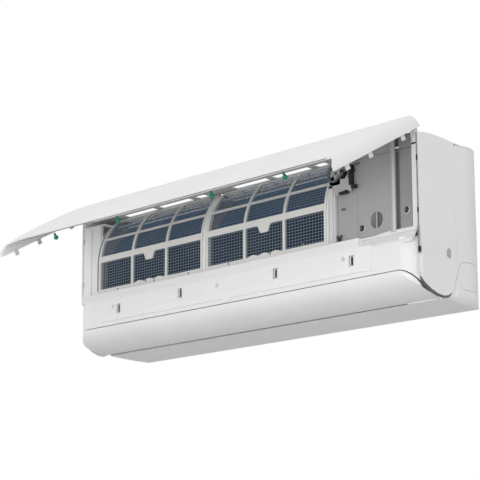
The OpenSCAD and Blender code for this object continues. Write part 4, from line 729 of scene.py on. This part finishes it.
# %% Screws
def screws(name, places, seat_y, turn, body, node, radius, finish):
    """Domed heads with a cross recess, and their shanks, at places (x, z) with the seat at a depth."""
    dome, recess, shaft, length = 2.0 * MM, 1.3 * MM, 1.5 * MM, 9 * MM
    arm, arm_width, recess_edge, recess_ease, dome_share = 0.62, 0.15, 1.25, 0.4, 0.86
    rings, around = 22, 48
    r = np.linspace(0.02, 1, rings)[:, None]
    a = np.linspace(0, 2 * np.pi, around, endpoint=False)[None]
    u, v = r * np.cos(a + turn), r * np.sin(a + turn)
    bar = np.minimum(np.maximum(np.abs(u) / arm, np.abs(v) / arm_width),
                     np.maximum(np.abs(u) / arm_width, np.abs(v) / arm))
    cut = np.clip((recess_edge - bar) / recess_ease, 0, 1)
    height = dome * np.sqrt(1 - (dome_share * r) ** 2) - recess * cut
    all_points, faces = [], []
    for x, z in places:
        head = np.stack([x + radius * r * np.cos(a), np.broadcast_to(seat_y - height, (rings, around)),
                         z + radius * r * np.sin(a)], -1)
        profile = np.array([[radius, 0.0], [shaft, 0.0], [shaft, length - 0.5 * MM], [0.2 * shaft, length]])
        shank = np.stack([x + profile[:, :1] * np.cos(a),
                          np.broadcast_to(seat_y + profile[:, 1:], (4, around)),
                          z + profile[:, :1] * np.sin(a)], -1)
        rows = np.vstack([head, shank])
        faces += sweep_faces(len(rows), around, start=sum(len(p) for p in all_points))
        all_points.append(rows.reshape(-1, 3))
    made = piece(name, np.vstack(all_points), faces, body, finish, [node], smooth=False)
    outward(made.data)


UNIT_WIDTH, RAIL_SCREW_Z = 900 * MM, -54.5 * MM
RAIL_SCREW_SHARES = (-0.365, -0.028, 0.325)
RAIL_SEAT, RAIL_TURN, RAIL_HEAD_R = -194.7 * MM, 0.5, 3.7 * MM
BOX_SEAT, BOX_TURN, BOX_HEAD_R = -178 * MM, 0.2, 5.4 * MM
BOX_SCREWS = [(321.0, -4.2), (421.4, 10.8)]
rail_places = [(part * UNIT_WIDTH, RAIL_SCREW_Z) for part in RAIL_SCREW_SHARES]
screws("strip_screw_heads", rail_places, RAIL_SEAT, RAIL_TURN, "base", "rail_screws", RAIL_HEAD_R,
       "screw_pale")
screws("box_screw_heads", np.array(BOX_SCREWS) * MM, BOX_SEAT, BOX_TURN, "base", "box_screws",
       BOX_HEAD_R, "screw_black")

# %% [markdown]
# ## Small fittings
# These pieces are too small or too soft in outline for the CAD model, and all sit on a CAD piece:
# the knobs and stems of the latch hooks, the seats in the latch slots, the bead, channel and upper plates of
# the control cover, the dish under its grip bar, the cove at its foot, the dark slots and front edge of the
# right end, the pads and plate of the small bracket, the foot notches of the filters and the cheeks beside
# the coil.
# Several wear lighter or darker copies of a colour: the bead is painted highlight; the seats, channel, dish,
# vents, slots, front edge and notches are painted shade; the crescent at the right end and the line beside
# the left filter are painted shadow.
# A helper carries a flat profile along one axis, another turns a profile about a line along Y, and a third
# makes small blocks. The sizes in this section are in mm.


# %% Helpers for the fittings
EASE, AROUND = 0.25 * MM, 28
TURN = np.linspace(0, 2 * np.pi, AROUND, endpoint=False)[None]


def carried_piece(name, profile, axis, a, b, body, finish):
    """A piece from a flat closed profile, whose two copies lie at a and b along an axis."""
    ring = np.insert(np.asarray(profile, float), axis, 0.0, axis=1)
    step = np.eye(3)[axis]
    rings = np.stack([ring + a * step, ring + b * step]) * MM
    made = piece(name, rings, sweep_faces(2, len(profile)), body, finish, smooth=False)
    outward(made.data)


def block_piece(name, lows, highs, body, finish):
    """A piece of many small boxes with eased edges, from their low and high corners."""
    points, faces = slabs(np.asarray(lows) * MM, np.asarray(highs) * MM)
    made = piece(name, points, faces, body, finish, smooth=False)
    edge = made.modifiers.new("eased_edges", "BEVEL")
    edge.width = EASE
    edge.segments = 2


def opened(points):
    """Swings points of the closed panel up about its hinge to the open rest position."""
    hinge_y, hinge_z, angle = -171.2 * MM, 133.1 * MM, math.radians(61.35)
    y, z = points[..., 1] - hinge_y, points[..., 2] - hinge_z
    c, s = math.cos(angle), math.sin(angle)
    return np.stack([points[..., 0], hinge_y + y * c + z * s, hinge_z - y * s + z * c], -1)


def turned_piece(name, profile, places, body, finish, stands_for=(), on_panel=False, hollow=False):
    """One profile of (radius, depth) turned about a line along Y at each place (x, z).

    A hollow ring joins its last edge to its first; any other is closed by a cap at each end.
    """
    radius, depth = (column[:, None] for column in np.asarray(profile, float).T)
    rings = len(profile)
    faces, points = [], []
    for i, (x, z) in enumerate(places):
        start = i * rings * AROUND
        faces += sweep_faces(rings, AROUND, caps=not hollow, start=start)
        if hollow:
            last = start + (rings - 1) * AROUND
            faces += [[last + j, last + (j + 1) % AROUND, start + (j + 1) % AROUND, start + j]
                      for j in range(AROUND)]
        points.append(np.stack([x + radius * np.cos(TURN), depth + 0 * TURN, z + radius * np.sin(TURN)], -1))
    points = np.array(points) * MM
    made = piece(name, opened(points) if on_panel else points, faces, body, finish, stands_for)
    outward(made.data)


# %% Latch hooks and their seats
HOOK_PLACES = [(-311.4, -60.0), (-128.0, -55.0), (128.0, -55.0), (311.4, -60.0)]
KNOB_R, KNOB_Y, HOOK_UP, POLE_GAP = 4.4, -188.7, 4.2, 0.05
STEM_R, STEM_ROOT, STEM_TIP = 2.3, -197.5, -190.5
hook_lines = [(x, z + HOOK_UP) for x, z in HOOK_PLACES]
rise = np.linspace(-0.5 * np.pi + POLE_GAP, 0.5 * np.pi - POLE_GAP, 15)
knob = np.stack([KNOB_R * np.cos(rise), KNOB_Y + KNOB_R * np.sin(rise)], 1)
stem = [(STEM_R, y) for y in np.linspace(STEM_ROOT, STEM_TIP, 6)]
turned_piece("hook_knobs", knob, hook_lines, "panel", "hook_green", ["latch_hooks"], on_panel=True)
turned_piece("hook_stems", stem, hook_lines, "panel", "hook_green", on_panel=True)

# The seats wear the darker copy of the white plastic: painted shade.
SEAT_W, SEAT_H, SLIT_W, SLIT_H, SEAT_FRONT, SEAT_BACK = 10.6, 16.0, 5.2, 13.8, -194.4, -192.8
lows, highs = [], []
for x, z in HOOK_PLACES:
    w, h, sw, sh = SEAT_W / 2, SEAT_H / 2, SLIT_W / 2, SLIT_H / 2
    for x0, x1, z0, z1 in ((-w, -sw, -h, h), (sw, w, -h, h), (-sw, sw, -h, -sh), (-sw, sw, sh, h)):
        lows.append((x + x0, SEAT_FRONT, z + z0))
        highs.append((x + x1, SEAT_BACK, z + z1))
block_piece("latch_seats", lows, highs, "base", "white_painted_shade")

# %% Control cover fittings
COVER_LOW, COVER_HIGH = -22.0, 136.5
# The bead wears a lighter copy of the cover's steel: painted highlight on the ridge.
BEAD_X, BEAD_WIDTH, BEAD_FRONT, BEAD_RISE, SHEET_BACK = 387.2, 11.0, -179.9, 1.5, -178.4
wave = np.linspace(0, 1, 17)
bead = [*np.stack([BEAD_X + BEAD_WIDTH * wave, BEAD_FRONT - BEAD_RISE * np.sin(np.pi * wave) ** 1.5], 1),
        (BEAD_X + BEAD_WIDTH, SHEET_BACK), (BEAD_X, SHEET_BACK)]
carried_piece("cover_bead", bead, 2, COVER_LOW, COVER_HIGH, "base", "bead_painted_highlight")
# The channel wears a darker copy of the cover's steel: painted shade in the hollow.
channel = [(396.5, -177.0), (398.0, -177.0), (398.8, -173.0), (406.4, -173.0), (407.0, -177.0),
           (408.0, -177.0), (408.0, -171.5), (396.5, -171.5)]
carried_piece("cover_channel", channel, 2, COVER_LOW, COVER_HIGH, "base", "recess_painted_shade_steel")

UPPER_PLATES = {
    "cover_brow": ((266.0, -180.0, 114.2), (396.4, -178.2, 136.5), "tin", "cover_steel"),
    "cover_edge": ((408.1, -180.0, 114.2), (433.8, -178.2, 137.5), "tin", "zinc_steel"),
    "post_brow": ((434.0, -178.0, 117.0), (446.8, -172.0, 137.5), "frame", "frame_white"),
}
for label, (low, high, slot, finish) in UPPER_PLATES.items():
    block_piece(label, [low], [high], "base", finish)

# The dish wears the darker copy of the cover's steel: painted shade in the hollow.
GRIP_AT, DISH_R = (354.0, 5.0), 15.0
DISH_SHARES = [0.02, 0.3, 0.6, 0.8, 0.93, 1.0, 1.0, 0.02]
DISH_DEPTHS = [-174.2, -174.3, -174.8, -175.8, -177.2, -177.9, -173.0, -173.0]
dish = [(DISH_R * part, y) for part, y in zip(DISH_SHARES, DISH_DEPTHS)]
turned_piece("cover_dish", dish, [GRIP_AT], "base", "recess_painted_shade_steel")

# %% Flanges of the box screws
flange = [(2.0, -178.1), (2.0, -178.8), (6.2, -179.0), (7.2, -178.7), (7.3, -178.1)]
turned_piece("screw_flanges", flange, BOX_SCREWS, "base", "screw_steel", hollow=True)

# %% Cove at the foot of the control cover
# Its section falls from the cover's plane to the chin in a slow S, and its top edge rises along the bay.
COVE = np.array([(-179.4, -19.0), (-179.8, -22.0), (-180.9, -25.0), (-183.0, -28.2), (-185.7, -31.4),
                 (-188.6, -34.8), (-191.2, -38.0), (-193.0, -41.0), (-193.9, -44.5), (-193.6, -46.0),
                 (-191.0, -46.0), (-177.5, -25.0), (-177.5, -19.0)])
COVE_X0, COVE_X1, CLIMB_RUN, CLIMB_LOW, CLIMB_RISE, COVE_STEPS = 322.0, 443.5, 60.0, -24.0, 5.0, 26
cove_x = np.linspace(COVE_X0, COVE_X1, COVE_STEPS)[:, None]
climb = np.clip((cove_x - COVE_X0) / CLIMB_RUN, 0, 1)
cove_top = CLIMB_LOW + CLIMB_RISE * climb ** 2 * (3 - 2 * climb)
grid = (COVE_STEPS, len(COVE))
cove = np.stack([np.broadcast_to(cove_x, grid), np.broadcast_to(COVE[:, 0], grid),
                 np.minimum(COVE[None, :, 1], cove_top)], -1)
cove_piece = piece("bay_cove", cove * MM, sweep_faces(*grid), "base", "frame_white", smooth=False)
outward(cove_piece.data)

# %% Slots, front edge and marks of the right end, with their painted shade and shadow
# The slots are dark blocks standing for the shade inside them: painted shade.
SLOT_Z, SLOT_HALF = [92.0, 5.5, -58.5], 4.7
block_piece("side_slot_painted_shades", [(447.5, -182.8, z - SLOT_HALF) for z in SLOT_Z],
            [(449.9, -178.0, z + SLOT_HALF) for z in SLOT_Z], "base", "slot_painted_shade")
# A grey strip on the side cover's front edge: painted shade of that edge.
block_piece("side_edge_painted_shade", [(447.6, -182.6, -66.0)], [(449.9, -180.9, 134.0)], "base", "edge_painted_shade_grey")
block_piece("end_fill", [(447.25, -181.3, -96.0)], [(447.75, -176.0, -20.0)], "base", "frame_white")
END_IN, END_OUT = 449.2, 450.08
# A dark crescent sheet under the side cover's lower front curve: painted shadow.
end_painted_shadow = [(-182.6, -105.8), (-173.5, -116.0), (-159.6, -124.9), (-143.0, -131.1), (-126.2, -132.9),
           (-113.9, -129.9), (-106.3, -123.6), (-106.2, -121.9), (-116.2, -126.9), (-126.0, -128.3),
           (-140.4, -125.9), (-155.8, -120.1), (-169.8, -112.0), (-181.4, -102.9)]
carried_piece("end_painted_shadow", end_painted_shadow, 0, END_IN, END_OUT, "base", "painted_shadow_grey")
mark = [(-116.2, -53.0), (-110.8, -47.2), (-105.4, -51.0), (-105.4, -62.5), (-110.8, -66.4), (-116.2, -61.5)]
carried_piece("side_mark", mark, 0, END_IN, END_OUT, "base", "mark_grey")

# %% Vents of the cover, pads and plate of the bracket
# The vents are blocks of the darker steel: painted shade in the openings.
VENT_FRONT, VENT_BACK, VENT_SIZE = -180.6, -179.6, (4.4, 4.0)
VENT_PLACES = [(275.0, 33.2), (280.6, 32.8)]
block_piece("cover_vents", [(x, VENT_FRONT, z) for x, z in VENT_PLACES],
            [(x + VENT_SIZE[0], VENT_BACK, z + VENT_SIZE[1]) for x, z in VENT_PLACES], "base",
            "recess_painted_shade_steel")
PAD_FRONT, PAD_BACK = -188.6, -180.6
PADS = [((281, 289.5), (88.5, 101)), ((301, 306), (72, 107)), ((304, 309), (95, 100)), ((306, 314), (66, 72)),
        ((277, 294), (60, 63.5)), ((253.5, 261), (74, 78))]
block_piece("bracket_pads", [(x[0], PAD_FRONT, z[0]) for x, z in PADS],
            [(x[1], PAD_BACK, z[1]) for x, z in PADS], "base", "rubber_dark")
plate = [(255, 90), (266, 96), (278, 94), (281, 86), (290, 85), (297, 92), (300, 80), (306, 70), (304, 62),
         (294, 66), (280, 64), (272, 58), (266, 66), (262, 78), (255, 80)]
carried_piece("bracket_plate", plate, 1, -187.0, -184.5, "base", "bracket_zinc")

# %% Notches at the foot of the filters
# Each net is tied to the frame's foot at a few small notches; the shade in them is painted as short grey
# marks.
NOTCHES = {"left": [(-321.7, -20.5), (-236.2, -16.5), (-211.0, -18.9), (-111.0, -19.8)],
           "right": [(-0.1, -18.6), (108.9, -16.0), (191.6, -12.8)]}
NOTCH_HALF_W, NOTCH_HALF_H, NOTCH_FRONT, NOTCH_BACK = 1.7, 2.2, -190.3, -189.6
for side, places in NOTCHES.items():
    block_piece(f"foot_notch_painted_shades_{side}",
                [(x - NOTCH_HALF_W, NOTCH_FRONT, z - NOTCH_HALF_H) for x, z in places],
                [(x + NOTCH_HALF_W, NOTCH_BACK, z + NOTCH_HALF_H) for x, z in places],
                f"filter_{side}", "cheek_grey")

# %% Cheeks beside the coil
# Behind each filter's left edge a plate runs back to the coil: an arc in front, the coil's faces behind.
CHEEK_R, CHEEK_T, CHEEK_FOOT, COIL_FACE = 122.2, 10.0, -24.0, -177.4
CHEEK_LOWS = {"left": -382.0, "middle": -68.0}
centre = np.array([ARC_Y, ARC_Z]) / MM
swing = np.linspace(np.pi, NET_END, 20)
arc = np.stack([np.cos(swing), np.sin(swing)], 1)
cheek = [(centre[0] - CHEEK_R, CHEEK_FOOT), *(centre + CHEEK_R * arc), (-123.4, 116.6), (-167.9, 57.4),
         (COIL_FACE, 40.6), (COIL_FACE, CHEEK_FOOT)]
for label, x in CHEEK_LOWS.items():
    carried_piece(f"coil_cheek_{label}", cheek, 0, x, x + CHEEK_T, "base", "cheek_grey")

# %% Baffle over the coil and the painted shadow line beside the left filter
baffle = [(-122.5, 117.2), (-121.0, 116.5), (-110.5, 132.4), (-112.0, 133.0)]
carried_piece("coil_baffle", baffle, 0, COIL_X0 / MM, COIL_X1 / MM, "base", "inner_grey")
# The strip is dark grey sheet along the rail: painted shadow.
LINE_OUT, LINE_IN, LINE_FOOT = 126.2, 125.3, -18.0
rail_painted_shadow = [(centre[0] - LINE_OUT, LINE_FOOT), *(centre + LINE_OUT * arc), *(centre + LINE_IN * arc[::-1]),
             (centre[0] - LINE_IN, LINE_FOOT)]
carried_piece("rail_painted_shadow", rail_painted_shadow, 0, -386.2, -383.6, "base", "painted_shadow_grey")
